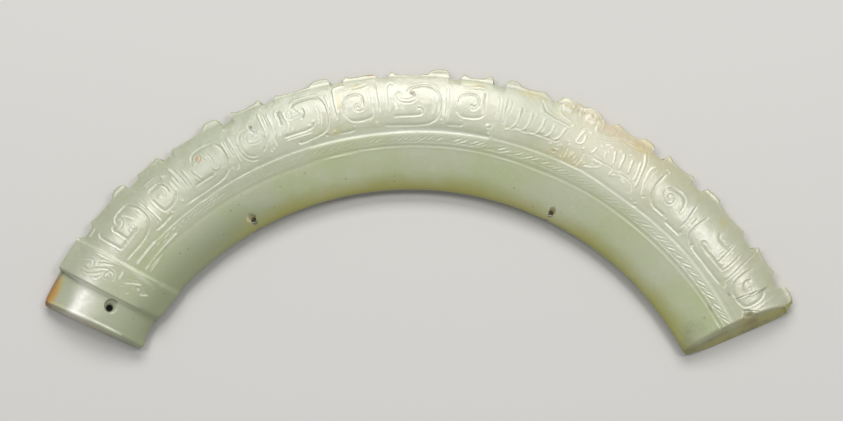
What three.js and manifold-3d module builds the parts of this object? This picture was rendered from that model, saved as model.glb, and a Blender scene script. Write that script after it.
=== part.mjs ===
// An arc-shaped pendant carved from one piece of pale green nephrite.
// Millimetres, +Z up. The stone lies on its back, with the front of the carving facing up.
// In plan the arch opens towards -Y. Angles run clockwise from the top of the arch, in degrees,
// about the centre of the inner edge. The finished stone is moved so that the middle of its
// footprint is the origin.

import * as THREE from 'three';
import Module from 'manifold-3d';
import { mergeVertices } from 'three/addons/utils/BufferGeometryUtils.js';

const wasm = await Module();
wasm.setup();

// The band in plan
const innerRadius = 62.2;
const bandWidth = 21.7;
const rootRadius = innerRadius + bandWidth;
const rootShiftX = 0.46;
const rootShiftY = 0.8;
const rightInnerAngle = 62.2;
const rightOuterAngle = 63.5;
const leftInnerAngle = -61.0;
const leftOuterAngle = -62.1;

// The band in section: thin at the inner edge, thickest past the middle, ground flat at the back
const innerRimThickness = 1.8;
const outerRimThickness = 2.8;
const frontBulge = 3.0;
const backBulge = 1.6;
const outerBackRise = 1.2;
const crownShare = 0.6;
const landWidth = 8;
const landCentreShare = 0.5;

// The two raised lines of the border between the plain and the carved parts of the front
const borderInset = 8.4;
const borderWidth = 3.0;
const borderLineWidth = 0.6;
const borderLineHeight = 0.22;

// The collar and the tenon at the left end
const collarProud = 0.35;
const collarStepRun = 0.3;
const collarLowerInnerAngle = -54.5;
const collarLowerOuterAngle = -56.6;
const collarUpperInnerAngle = -48.0;
const collarUpperOuterAngle = -51.6;
const tenonRecess = 0.4;
const tenonTaper = 1.25;
const lipProud = 0.1;

// The crest of teeth along the outer edge
const toothHeight = 1.7;
const crestThickness = 1.9;
const crestBottom = 1.7;
const crestBury = 2.5;
const crestSink = 0.4;
const hookWidth = 0.9;
const hookLean = 0.16;
const tabWidth = 3.0;
const tabCorner = 0.35;
const tabFootShare = 0.3;
const hookNeckShare = 0.33;
const hookNeckRiseShare = 0.62;
const hookFootRiseShare = 0.22;

// The slanted end faces and the drilled holes
const rightSlant = 28;
const leftSlant = 18;
const cordHoleWaist = 0.6;
const cordHoleMouth = 0.9;
const cordHoleInset = 1.8;
const cordHoleAngles = [-29.3, 26.0];
const tenonHoleWaist = 0.65;
const tenonHoleMouth = 1.5;
const tenonHoleInset = 9.3;
const tenonHoleAngle = -57.3;
const cutOverrun = 2;
const endCutDepth = 30;
const endCutReach = 60;

// Counts of steps
const bandSteps = 60;
const collarSteps = 3;
const frontSteps = 14;
const backSteps = 4;
const holeSides = 16;
const arcStep = 1.6;

// Shares of the tenon's length, from the collar to the end, how deep its hollow is there, and how
// far its outer side has drawn in
const tenonShares = [
  [0.0, 0.95, 0.0],
  [0.3, 1.0, 0.0],
  [0.55, 0.8, 0.24],
  [0.72, 0.35, 0.5],
  [0.84, 0.0, 0.72],
  [1.0, 0.0, 1.0],
];

// The members of the crest: where each starts and ends, in degrees, what stands at its left and
// right end, the shares of the tooth height at the left end, in the saddle and at the right, and
// the share of the tab's width where a tab is broader or narrower than most
const crestMembers = [
  { from: -49.2, to: -42.4, left: 'hook', right: 'tab', shares: [0.5, 0.34, 1.0] },
  { from: -40.2, to: -36.5, left: 'hook', right: 'hook', shares: [0.55, 0.42, 0.7] },
  { from: -34.4, to: -27.2, left: 'hook', right: 'tab', shares: [0.5, 0.24, 0.96] },
  { from: -25.0, to: -21.0, left: 'hook', right: 'hook', shares: [0.72, 0.38, 0.78] },
  { from: -18.8, to: -11.2, left: 'hook', right: 'tab', shares: [0.65, 0.27, 0.96] },
  { from: -9.1, to: -4.8, left: 'hook', right: 'hook', shares: [0.7, 0.47, 0.6] },
  { from: -2.9, to: 5.1, left: 'hook', right: 'tab', shares: [0.76, 0.24, 1.04], broad: 1.25 },
  { from: 6.9, to: 11.2, left: 'hook', right: 'hook', shares: [0.73, 0.36, 0.94] },
  { from: 13.0, to: 18.5, left: 'tab', right: 'hook', shares: [1.0, 0.44, 0.76], broad: 0.9 },
  { from: 28.6, to: 34.7, left: 'hook', right: 'tab', shares: [0.73, 0.29, 0.88] },
  { from: 36.7, to: 41.4, left: 'hook', right: 'hook', shares: [0.86, 0.41, 0.7] },
  { from: 43.5, to: 51.3, left: 'tab', right: 'hook', shares: [0.88, 0.28, 0.52], broad: 1.25 },
  { from: 53.7, to: 58.1, left: 'hook', right: 'hook', shares: [0.84, 0.47, 0.66] },
  { from: 60.3, to: 63.3, left: 'tab', right: 'tab', shares: [0.98, 0.98, 0.98], broad: 0.5 },
];

// The animal mask's curl and nose stand on the crest too: shares of the mask's span and of the
// tooth height, from left to right
const maskFrom = 20.1;
const maskTo = 26.9;
const maskShares = [
  [0.0, 0.0],
  [0.06, 0.74],
  [0.18, 0.95],
  [0.36, 0.78],
  [0.45, 0.87],
  [0.54, 0.7],
  [0.62, 0.86],
  [0.72, 0.93],
  [0.84, 0.86],
  [0.92, 0.7],
  [1.0, 0.0],
];

// Plan helpers
const radians = THREE.MathUtils.degToRad;
const lerp = THREE.MathUtils.lerp;

function planPoint(radius, angle) {
  return new THREE.Vector2(radius * Math.sin(radians(angle)), radius * Math.cos(radians(angle)));
}

function rootRadiusAt(angle) {
  return rootRadius + rootShiftX * Math.sin(radians(angle)) + rootShiftY * Math.cos(radians(angle));
}

function angleOfRun(run, radius) {
  return THREE.MathUtils.radToDeg(run / radius);
}

// Section helpers. A share of 0 is the inner edge and 1 is the outer edge.
function frontHeight(share) {
  const crownHeight = backBulge + innerRimThickness + frontBulge;
  if (share < crownShare) {
    return crownHeight - frontBulge * ((crownShare - share) / crownShare) ** 2;
  }
  const outerRimTop = outerBackRise + outerRimThickness;
  return crownHeight - (crownHeight - outerRimTop) * ((share - crownShare) / (1 - crownShare)) ** 2;
}

function backHeight(share, width) {
  const landShare = landWidth / width / 2;
  const away = share - landCentreShare;
  if (Math.abs(away) <= landShare) {
    return 0;
  }
  const reach = (away < 0 ? landCentreShare : 1 - landCentreShare) - landShare;
  const rise = away < 0 ? backBulge : outerBackRise;
  return rise * ((Math.abs(away) - landShare) / reach) ** 2;
}

function borderHeight(inset) {
  const fromInner = Math.abs(inset - borderInset);
  const fromOuter = Math.abs(inset - borderInset - borderWidth);
  const nearest = Math.min(fromInner, fromOuter);
  return borderLineHeight * Math.max(0, 1 - nearest / (borderLineWidth / 2));
}

// The insets from the inner edge at which the front is sampled: evenly, and at the feet and top of
// each border line
function frontInsets(width) {
  const insets = [];
  for (let step = 0; step <= frontSteps; step += 1) {
    insets.push((width * step) / frontSteps);
  }
  for (const line of [borderInset, borderInset + borderWidth]) {
    insets.push(line - borderLineWidth / 2, line, line + borderLineWidth / 2);
  }
  return insets.sort((a, b) => a - b);
}

function backShares(width) {
  const landShare = landWidth / width / 2;
  const shares = [];
  for (let step = 0; step < backSteps; step += 1) {
    shares.push(((landCentreShare - landShare) * step) / backSteps);
  }
  shares.push(landCentreShare - landShare, landCentreShare + landShare);
  for (let step = 1; step <= backSteps; step += 1) {
    shares.push(lerp(landCentreShare + landShare, 1, step / backSteps));
  }
  return shares;
}

// One section of the band on the plane through its inner and outer edge. The proud value swells
// the section all round, or shrinks it where it is negative, and leaves the flat back at zero.
function sectionLoop(station) {
  const inner = planPoint(innerRadius, station.inner);
  const outer = planPoint(rootRadiusAt(station.outer) - station.taper, station.outer);
  const width = inner.distanceTo(outer);
  const span = width + 2 * station.proud;
  const place = (share, height) => {
    const along = (share * span - station.proud) / width;
    const plan = inner.clone().lerp(outer, along);
    return new THREE.Vector3(plan.x, plan.y, height);
  };
  const loop = [];
  for (const share of backShares(width)) {
    const height = backHeight(share, width);
    const rimShare = Math.min(1, height / outerBackRise);
    loop.push(place(share, Math.max(0, height - station.proud * rimShare)));
  }
  for (const inset of frontInsets(width).reverse()) {
    const share = inset / width;
    loop.push(place(share, frontHeight(share) + station.proud + station.border * borderHeight(inset)));
  }
  return loop;
}

// The stations of the loft, from the left end to the right end
function bandStations() {
  const stations = [];
  const add = (inner, outer, proud, taper, border) => {
    stations.push({ inner, outer, proud, taper, border });
  };
  const overrunAngle = angleOfRun(cutOverrun, innerRadius);
  const stepAngle = angleOfRun(collarStepRun, rootRadius);
  add(leftInnerAngle - overrunAngle, leftOuterAngle - overrunAngle, lipProud, tenonTaper, 0);
  for (const [share, hollow, drawn] of [...tenonShares].reverse()) {
    const inner = lerp(collarLowerInnerAngle, leftInnerAngle, share);
    const outer = lerp(collarLowerOuterAngle, leftOuterAngle, share);
    add(inner, outer, lerp(lipProud, -tenonRecess, hollow), drawn * tenonTaper, 0);
  }
  for (let step = 0; step <= collarSteps; step += 1) {
    const share = step / collarSteps;
    const inner = lerp(collarLowerInnerAngle + stepAngle, collarUpperInnerAngle - stepAngle, share);
    const outer = lerp(collarLowerOuterAngle + stepAngle, collarUpperOuterAngle - stepAngle, share);
    add(inner, outer, collarProud, 0, 0);
  }
  for (let step = 0; step <= bandSteps; step += 1) {
    const share = step / bandSteps;
    const inner = lerp(collarUpperInnerAngle, rightInnerAngle + overrunAngle, share);
    const outer = lerp(collarUpperOuterAngle, rightOuterAngle + overrunAngle, share);
    add(inner, outer, 0, 0, 1);
  }
  return stations;
}

// A closed skin over the stations' loops, with a flat cap on each end
function loft(loops) {
  const positions = [];
  const indices = [];
  const count = loops[0].length;
  for (const loop of loops) {
    for (const point of loop) {
      positions.push(point.x, point.y, point.z);
    }
  }
  for (let ring = 0; ring + 1 < loops.length; ring += 1) {
    for (let side = 0; side < count; side += 1) {
      const next = (side + 1) % count;
      const a = ring * count + side;
      const b = ring * count + next;
      indices.push(a, b, a + count, b, b + count, a + count);
    }
  }
  const contour = loops[0].map((point) => new THREE.Vector2(Math.hypot(point.x, point.y), point.z));
  const lastRing = (loops.length - 1) * count;
  for (const [a, b, c] of THREE.ShapeUtils.triangulateShape(contour, [])) {
    indices.push(a, c, b);
    indices.push(lastRing + a, lastRing + b, lastRing + c);
  }
  const geometry = new THREE.BufferGeometry();
  geometry.setAttribute('position', new THREE.Float32BufferAttribute(positions, 3));
  geometry.setIndex(indices);
  return geometry;
}

// Solid helpers
function solidOf(geometry) {
  const bare = geometry.clone();
  bare.deleteAttribute('normal');
  bare.deleteAttribute('uv');
  const merged = mergeVertices(bare);
  const mesh = new wasm.Mesh({
    numProp: 3,
    vertProperties: new Float32Array(merged.attributes.position.array),
    triVerts: new Uint32Array(merged.index.array),
  });
  return new wasm.Manifold(mesh);
}

function geometryOf(solid) {
  const mesh = solid.getMesh();
  const geometry = new THREE.BufferGeometry();
  geometry.setAttribute('position', new THREE.BufferAttribute(new Float32Array(mesh.vertProperties), 3));
  geometry.setIndex(new THREE.BufferAttribute(new Uint32Array(mesh.triVerts), 1));
  geometry.computeVertexNormals();
  return geometry;
}

// The crest's outline. Each end of a member is a narrow hook that leans over the notch beside it,
// or a broad tab, and a shallow saddle lies between the ends.
function endProfile(kind, tipHeight, saddleHeight, broad) {
  if (kind === 'hook') {
    return [
      [-hookLean, tipHeight],
      [hookWidth * hookNeckShare, lerp(saddleHeight, tipHeight, hookNeckRiseShare)],
      [hookWidth, lerp(saddleHeight, tipHeight, hookFootRiseShare)],
    ];
  }
  const width = tabWidth * broad;
  return [
    [0, tipHeight - tabCorner],
    [tabCorner, tipHeight],
    [width - tabCorner, tipHeight],
    [width, tipHeight - tabCorner],
    [width, lerp(saddleHeight, tipHeight, tabFootShare)],
  ];
}

function memberOutline(member) {
  const tipRadius = rootRadius + toothHeight;
  const [leftShare, saddleShare, rightShare] = member.shares;
  const saddleHeight = saddleShare * toothHeight;
  const broad = member.broad ?? 1;
  const left = endProfile(member.left, leftShare * toothHeight, saddleHeight, broad);
  const right = endProfile(member.right, rightShare * toothHeight, saddleHeight, broad).reverse();
  const points = [[member.from, -crestSink]];
  for (const [run, height] of left) {
    points.push([member.from + angleOfRun(run, tipRadius), height]);
  }
  const saddleFrom = points[points.length - 1][0];
  const saddleTo = member.to - angleOfRun(right[0][0], tipRadius);
  const steps = Math.max(2, Math.round((saddleTo - saddleFrom) / arcStep));
  for (let step = 1; step < steps; step += 1) {
    const share = step / steps;
    const sideHeight = share < 0.5 ? left[left.length - 1][1] : right[0][1];
    const height = lerp(saddleHeight, sideHeight, (2 * share - 1) ** 2);
    points.push([lerp(saddleFrom, saddleTo, share), height]);
  }
  for (const [run, height] of right) {
    points.push([member.to - angleOfRun(run, tipRadius), height]);
  }
  points.push([member.to, -crestSink]);
  return points;
}

function crestOutline() {
  const members = crestMembers.map(memberOutline);
  const maskPoints = maskShares.map(([span, rise]) => {
    return [lerp(maskFrom, maskTo, span), rise > 0 ? rise * toothHeight : -crestSink];
  });
  members.push(maskPoints);
  members.sort((a, b) => a[0][0] - b[0][0]);
  return members.flat();
}

function crestPlate() {
  const outline = crestOutline();
  const points = outline.map(([angle, height]) => planPoint(rootRadiusAt(angle) + height, angle));
  const first = outline[0][0];
  const last = outline[outline.length - 1][0];
  const steps = Math.round((last - first) / arcStep);
  for (let step = steps; step >= 0; step -= 1) {
    const angle = lerp(first, last, step / steps);
    points.push(planPoint(rootRadiusAt(angle) - crestBury, angle));
  }
  const plate = new THREE.ExtrudeGeometry(new THREE.Shape(points), {
    depth: crestThickness,
    bevelEnabled: false,
    curveSegments: 1,
  });
  plate.translate(0, 0, crestBottom);
  return plate;
}

// A block whose lower face is an end face of the stone. It leans back over the band going up.
function endBlock(innerAngle, outerAngle, slant, side) {
  const inner = planPoint(innerRadius, innerAngle);
  const outer = planPoint(rootRadiusAt(outerAngle), outerAngle);
  const along = outer.clone().sub(inner).normalize();
  const lean = radians(slant);
  const away = new THREE.Vector3(side * along.y, -side * along.x, 0);
  const normal = away.multiplyScalar(Math.cos(lean)).add(new THREE.Vector3(0, 0, Math.sin(lean)));
  const acrossBand = new THREE.Vector3(along.x, along.y, 0);
  const upFace = acrossBand.clone().cross(normal);
  const block = new THREE.BoxGeometry(endCutReach, endCutDepth, endCutReach);
  block.translate(0, endCutDepth / 2, 0);
  block.applyMatrix4(new THREE.Matrix4().makeBasis(acrossBand, normal, upFace));
  const middle = inner.clone().lerp(outer, 0.5);
  block.translate(middle.x, middle.y, backBulge);
  return block;
}

// A hole drilled from both faces: two cones that meet at a narrow waist inside the stone
function drilledHole(inset, angle, waist, mouth) {
  const width = rootRadiusAt(angle) - innerRadius;
  const share = inset / width;
  const top = frontHeight(share);
  const bottom = backHeight(share, width);
  const middle = (top + bottom) / 2;
  const flare = (mouth - waist) / (top - middle);
  const reach = top - middle + cutOverrun;
  const wide = waist + flare * reach;
  const profile = [
    new THREE.Vector2(0, -reach),
    new THREE.Vector2(wide, -reach),
    new THREE.Vector2(waist, 0),
    new THREE.Vector2(wide, reach),
    new THREE.Vector2(0, reach),
  ];
  const hole = new THREE.LatheGeometry(profile, holeSides);
  hole.rotateX(Math.PI / 2);
  const place = planPoint(innerRadius + inset, angle);
  hole.translate(place.x, place.y, middle);
  return hole;
}

// The stone: the lofted band with its collar and tenon, the crest, the end faces and the holes
const stone = (() => {
  const band = solidOf(loft(bandStations().map(sectionLoop)));
  let solid = band.add(solidOf(crestPlate()));
  solid = solid.subtract(solidOf(endBlock(rightInnerAngle, rightOuterAngle, rightSlant, 1)));
  solid = solid.subtract(solidOf(endBlock(leftInnerAngle, leftOuterAngle, leftSlant, -1)));
  for (const angle of cordHoleAngles) {
    solid = solid.subtract(solidOf(drilledHole(cordHoleInset, angle, cordHoleWaist, cordHoleMouth)));
  }
  const tenonHole = drilledHole(tenonHoleInset, tenonHoleAngle, tenonHoleWaist, tenonHoleMouth);
  solid = solid.subtract(solidOf(tenonHole));
  return geometryOf(solid);
})();

// Jade, the one material
const jade = new THREE.MeshStandardMaterial({ color: 0xb9c2a0, roughness: 0.32, metalness: 0 });

// The middle of the footprint is the origin
stone.computeBoundingBox();
const centre = stone.boundingBox.getCenter(new THREE.Vector3());
const jadeArc = new THREE.Mesh(stone, jade);
jadeArc.name = 'jade_arc';
jadeArc.position.set(-centre.x, -centre.y, -stone.boundingBox.min.z);

const pendant = new THREE.Group();
pendant.name = 'arc_pendant';
pendant.add(jadeArc);

export default pendant;
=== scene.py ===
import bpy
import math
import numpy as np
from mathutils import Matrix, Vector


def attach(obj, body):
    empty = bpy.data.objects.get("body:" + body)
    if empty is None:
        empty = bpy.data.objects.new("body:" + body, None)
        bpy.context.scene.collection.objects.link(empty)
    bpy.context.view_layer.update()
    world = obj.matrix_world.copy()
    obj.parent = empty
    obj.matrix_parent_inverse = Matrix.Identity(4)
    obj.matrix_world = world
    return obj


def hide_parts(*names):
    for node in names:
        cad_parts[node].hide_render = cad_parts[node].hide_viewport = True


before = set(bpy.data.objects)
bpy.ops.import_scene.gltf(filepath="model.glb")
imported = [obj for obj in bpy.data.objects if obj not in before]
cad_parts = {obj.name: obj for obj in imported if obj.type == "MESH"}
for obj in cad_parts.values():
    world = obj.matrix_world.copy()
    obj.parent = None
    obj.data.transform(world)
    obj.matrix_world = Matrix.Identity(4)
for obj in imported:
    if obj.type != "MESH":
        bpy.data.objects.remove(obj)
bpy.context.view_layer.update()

# %% [markdown]
# The object is a pendant carved from one piece of pale green nephrite: a flat arc with a crest of teeth,
# a collar and a socketed end, and fine scrolls cut into the outer half of its front. The packed model
# gives the true size and place. Here the same stone is made again as one fine mesh, because the
# carving is only tenths of a millimetre deep and the plain model leaves it out.

MM = 0.001

# %% [markdown]
# Everything on the stone is placed by an angle, clockwise from the top of the arc, and a radius from
# the centre of the inner edge, as a carver would mark it out with compasses. The packed model has its
# origin in the middle of its footprint, so the centre of the arc lies well below that origin.

# %% The marking-out of the arc
ARC_CENTRE = np.array([-1.913, -57.697])
INNER_RADIUS = 62.2
ROOT_RADIUS = 83.9
ROOT_SHIFT = (0.46, 0.8)


def on_arc(angle, radius):
    """The plan place, in millimetres, of an angle in degrees and a radius."""
    turn = np.radians(angle)
    return np.stack([radius * np.sin(turn), radius * np.cos(turn)], -1) + ARC_CENTRE


def root_radius(angle):
    """The radius where the crest grows out of the band."""
    turn = np.radians(angle)
    return ROOT_RADIUS + ROOT_SHIFT[0] * np.sin(turn) + ROOT_SHIFT[1] * np.cos(turn)


print("top of the band, mm:", on_arc(0.0, root_radius(0.0)))

# %% [markdown]
# The photograph looks straight down with a long lens, so the camera hangs above the middle of the
# picture. A long lens keeps the rim faces hidden, as they are in the photograph.

# %% Camera
PICTURE_MIDDLE = (0.157, 0.287)
PICTURE_WIDTH = 168.6
SENSOR = 36.0
LENS = 150.0
STONE_MIDHEIGHT = 4.0
NEAR_CLIP = 10.0

camera_data = bpy.data.cameras.new("camera")
camera_data.lens = LENS
camera_data.sensor_width = SENSOR
camera_data.clip_start = NEAR_CLIP * MM
camera = bpy.data.objects.new("camera", camera_data)
camera_height = STONE_MIDHEIGHT + PICTURE_WIDTH * LENS / SENSOR
camera.location = (PICTURE_MIDDLE[0] * MM, PICTURE_MIDDLE[1] * MM, camera_height * MM)
bpy.context.scene.collection.objects.link(camera)
bpy.context.scene.camera = camera
print("camera height, mm:", round(camera_height, 1))

# %% [markdown]
# A wide soft window lamp stands beyond the top of the picture, about half way up the sky. It makes the
# broad sheen on the outer half of the band and picks out each cut line. Two smaller lamps, higher up on
# the left and on the right, do the same for the two ends, where the lines run another way. One lamp
# overhead would be simpler, but it would flatten the carving. The world adds a weak even light.

# %% Lamps and world
LAMP_DISTANCE = 900.0
WARM_WHITE = (1.0, 0.975, 0.94)
WORLD_STRENGTH = 0.3
LAMPS = [
    ("window_lamp", 0, 46, (620, 330), 4.9),
    ("left_lamp", -47, 66, (280, 170), 1.5),
    ("right_lamp", 54, 62, (200, 170), 1.55),
]


def lamp_at(azimuth, elevation):
    """The place of a lamp seen from the stone, with the azimuth clockwise from the picture's top."""
    turn, lift = math.radians(azimuth), math.radians(elevation)
    reach = LAMP_DISTANCE * math.cos(lift)
    return (reach * math.sin(turn), reach * math.cos(turn), LAMP_DISTANCE * math.sin(lift))


def soft_lamp(name, place, sides, power):
    """A warm rectangular lamp at a place, facing the stone, with its place and sides in millimetres."""
    data = bpy.data.lights.new(name, "AREA")
    data.shape = "RECTANGLE"
    data.size = sides[0] * MM
    data.size_y = sides[1] * MM
    data.energy = power
    data.color = WARM_WHITE
    lamp = bpy.data.objects.new(name, data)
    lamp.location = [value * MM for value in place]
    lamp.rotation_euler = (-Vector(place)).to_track_quat("-Z", "Y").to_euler()
    bpy.context.scene.collection.objects.link(lamp)


for lamp_name, azimuth, elevation, sides, power in LAMPS:
    lamp_place = lamp_at(azimuth, elevation)
    soft_lamp(lamp_name, lamp_place, sides, power)
    print(lamp_name, "stands at, mm:", [round(value) for value in lamp_place])

world = bpy.data.worlds.new("studio")
world.use_nodes = True
background = world.node_tree.nodes["Background"]
background.inputs["Color"].default_value = (1, 1, 1, 1)
background.inputs["Strength"].default_value = WORLD_STRENGTH
bpy.context.scene.world = world
bpy.context.scene.view_settings.view_transform = "Standard"

# %% [markdown]
# The stone lies on a plain pale sheet, larger than any view needs. A sheet of studio paper has no shape
# to show, so one square face is enough for its colour and for the stone's soft shadow.

# %% Floor
FLOOR_HALF = 1500.0
FLOOR_GREY = (0.64, 0.64, 0.63, 1)
FLOOR_ROUGHNESS = 0.85
CORNER_SIGNS = ((-1, -1), (1, -1), (1, 1), (-1, 1))

floor_corners = [(x * FLOOR_HALF * MM, y * FLOOR_HALF * MM, 0) for x, y in CORNER_SIGNS]
floor_mesh = bpy.data.meshes.new("floor")
floor_mesh.from_pydata(floor_corners, [], [(0, 1, 2, 3)])
floor = bpy.data.objects.new("floor", floor_mesh)
bpy.context.scene.collection.objects.link(floor)
floor_paint = bpy.data.materials.new("floor_paint")
floor_paint.use_nodes = True
floor_shader = floor_paint.node_tree.nodes["Principled BSDF"]
floor_shader.inputs["Base Color"].default_value = FLOOR_GREY
floor_shader.inputs["Roughness"].default_value = FLOOR_ROUGHNESS
floor_mesh.materials.append(floor_paint)
print("floor, mm square:", 2 * FLOOR_HALF)

# %% [markdown]
# A node tree is a drawing of sums, and each Math node takes several lines to place and link. So a Field
# stands for one value inside a tree and can be added and scaled like a number, which keeps the trees
# below short. The geometry trees and the stone's colours both use it.

# %% Sums inside node trees
class Field:
    """A value in a node tree that can be reckoned with like a number."""

    def __init__(self, tree, socket):
        self.tree = tree
        self.socket = socket

    def reckon(self, operation, *others):
        node = self.tree.nodes.new("ShaderNodeMath")
        node.operation = operation
        for slot, value in zip(node.inputs, (self, *others)):
            plug(self.tree, slot, value)
        return Field(self.tree, node.outputs[0])

    def __add__(self, other):
        return self.reckon("ADD", other)

    def __sub__(self, other):
        return self.reckon("SUBTRACT", other)

    def __mul__(self, other):
        return self.reckon("MULTIPLY", other)

    def __truediv__(self, other):
        return self.reckon("DIVIDE", other)

    def less(self, other):
        return self.reckon("LESS_THAN", other)

    def at_least(self, other):
        return self.reckon("MAXIMUM", other)

    def at_most(self, other):
        return self.reckon("MINIMUM", other)

    def flip(self):
        """One minus the value."""
        return (self * -1.0) + 1.0


def plug(tree, slot, value):
    """Links a field or a socket to a slot, or writes a plain value in it."""
    if isinstance(value, Field):
        tree.links.new(value.socket, slot)
    elif isinstance(value, bpy.types.NodeSocket):
        tree.links.new(value, slot)
    else:
        slot.default_value = value


def add_node(tree, kind, settings=None, **inputs):
    """A node with its settings, and with its input slots filled by name."""
    node = tree.nodes.new(kind)
    for key, value in (settings or {}).items():
        setattr(node, key, value)
    for name, value in inputs.items():
        plug(tree, node.inputs[name.replace("_", " ")], value)
    return node


print("a field's own sums:", [name for name in vars(Field) if "__" not in name])

# %% [markdown]
# The stone's section and its carving follow rules, so geometry trees shape them. Each tree has named
# inputs for its sizes, which are set by their identifiers before the tree first runs. It ends in a real
# mesh with the stone's material, which is then kept as a plain mesh, and the modifier goes.

# %% Making and using a geometry tree
jade = bpy.data.materials.new("nephrite")


def attribute(tree, name, kind="FLOAT"):
    """A named attribute of the mesh, as a socket of a geometry tree."""
    node = add_node(tree, "GeometryNodeInputNamedAttribute", {"data_type": kind})
    node.inputs["Name"].default_value = name
    return node.outputs["Attribute"]


def geometry_tree(name, inputs):
    """A geometry tree with a mesh in, a mesh out and the named inputs, and its two end nodes."""
    tree = bpy.data.node_groups.new(name, "GeometryNodeTree")
    tree.interface.new_socket("Geometry", in_out="INPUT", socket_type="NodeSocketGeometry")
    tree.interface.new_socket("Geometry", in_out="OUTPUT", socket_type="NodeSocketGeometry")
    for input_name, kind in inputs.items():
        tree.interface.new_socket(input_name, in_out="INPUT", socket_type="NodeSocket" + kind)
    return tree, tree.nodes.new("NodeGroupInput"), tree.nodes.new("NodeGroupOutput")


def end_in_jade(tree, group_out, geometry):
    """Ends a geometry tree with a real mesh in the jade's material."""
    real = add_node(tree, "GeometryNodeRealizeInstances", Geometry=geometry)
    tinted = add_node(tree, "GeometryNodeSetMaterial", Geometry=real.outputs["Geometry"], Material=jade)
    plug(tree, group_out.inputs["Geometry"], tinted.outputs["Geometry"])


def shape_with(piece, tree, values):
    """Runs a geometry tree on a piece with these inputs and keeps the result as its plain mesh."""
    modifier = piece.modifiers.new(tree.name, "NODES")
    modifier.node_group = tree
    for item in tree.interface.items_tree:
        if item.in_out == "INPUT" and item.name in values:
            modifier[item.identifier] = values[item.name]
    keep_shape(piece)


def keep_shape(piece):
    """Makes the piece's mesh the one that its modifiers give, and removes them."""
    depsgraph = bpy.context.evaluated_depsgraph_get()
    evaluated = piece.evaluated_get(depsgraph)
    mesh = bpy.data.meshes.new_from_object(evaluated, preserve_all_data_layers=True, depsgraph=depsgraph)
    piece.modifiers.clear()
    piece.data = mesh


print("the stone's material:", jade.name)

# %% [markdown]
# The outer outline carries the crest: hooks that lean over small notches, broad tabs, shallow saddles
# between them and, near the right, the curl and nose of an animal mask. It is a list of chosen
# points, an angle and a radius each. Where two points share nearly one angle the outline is a wall.

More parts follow.
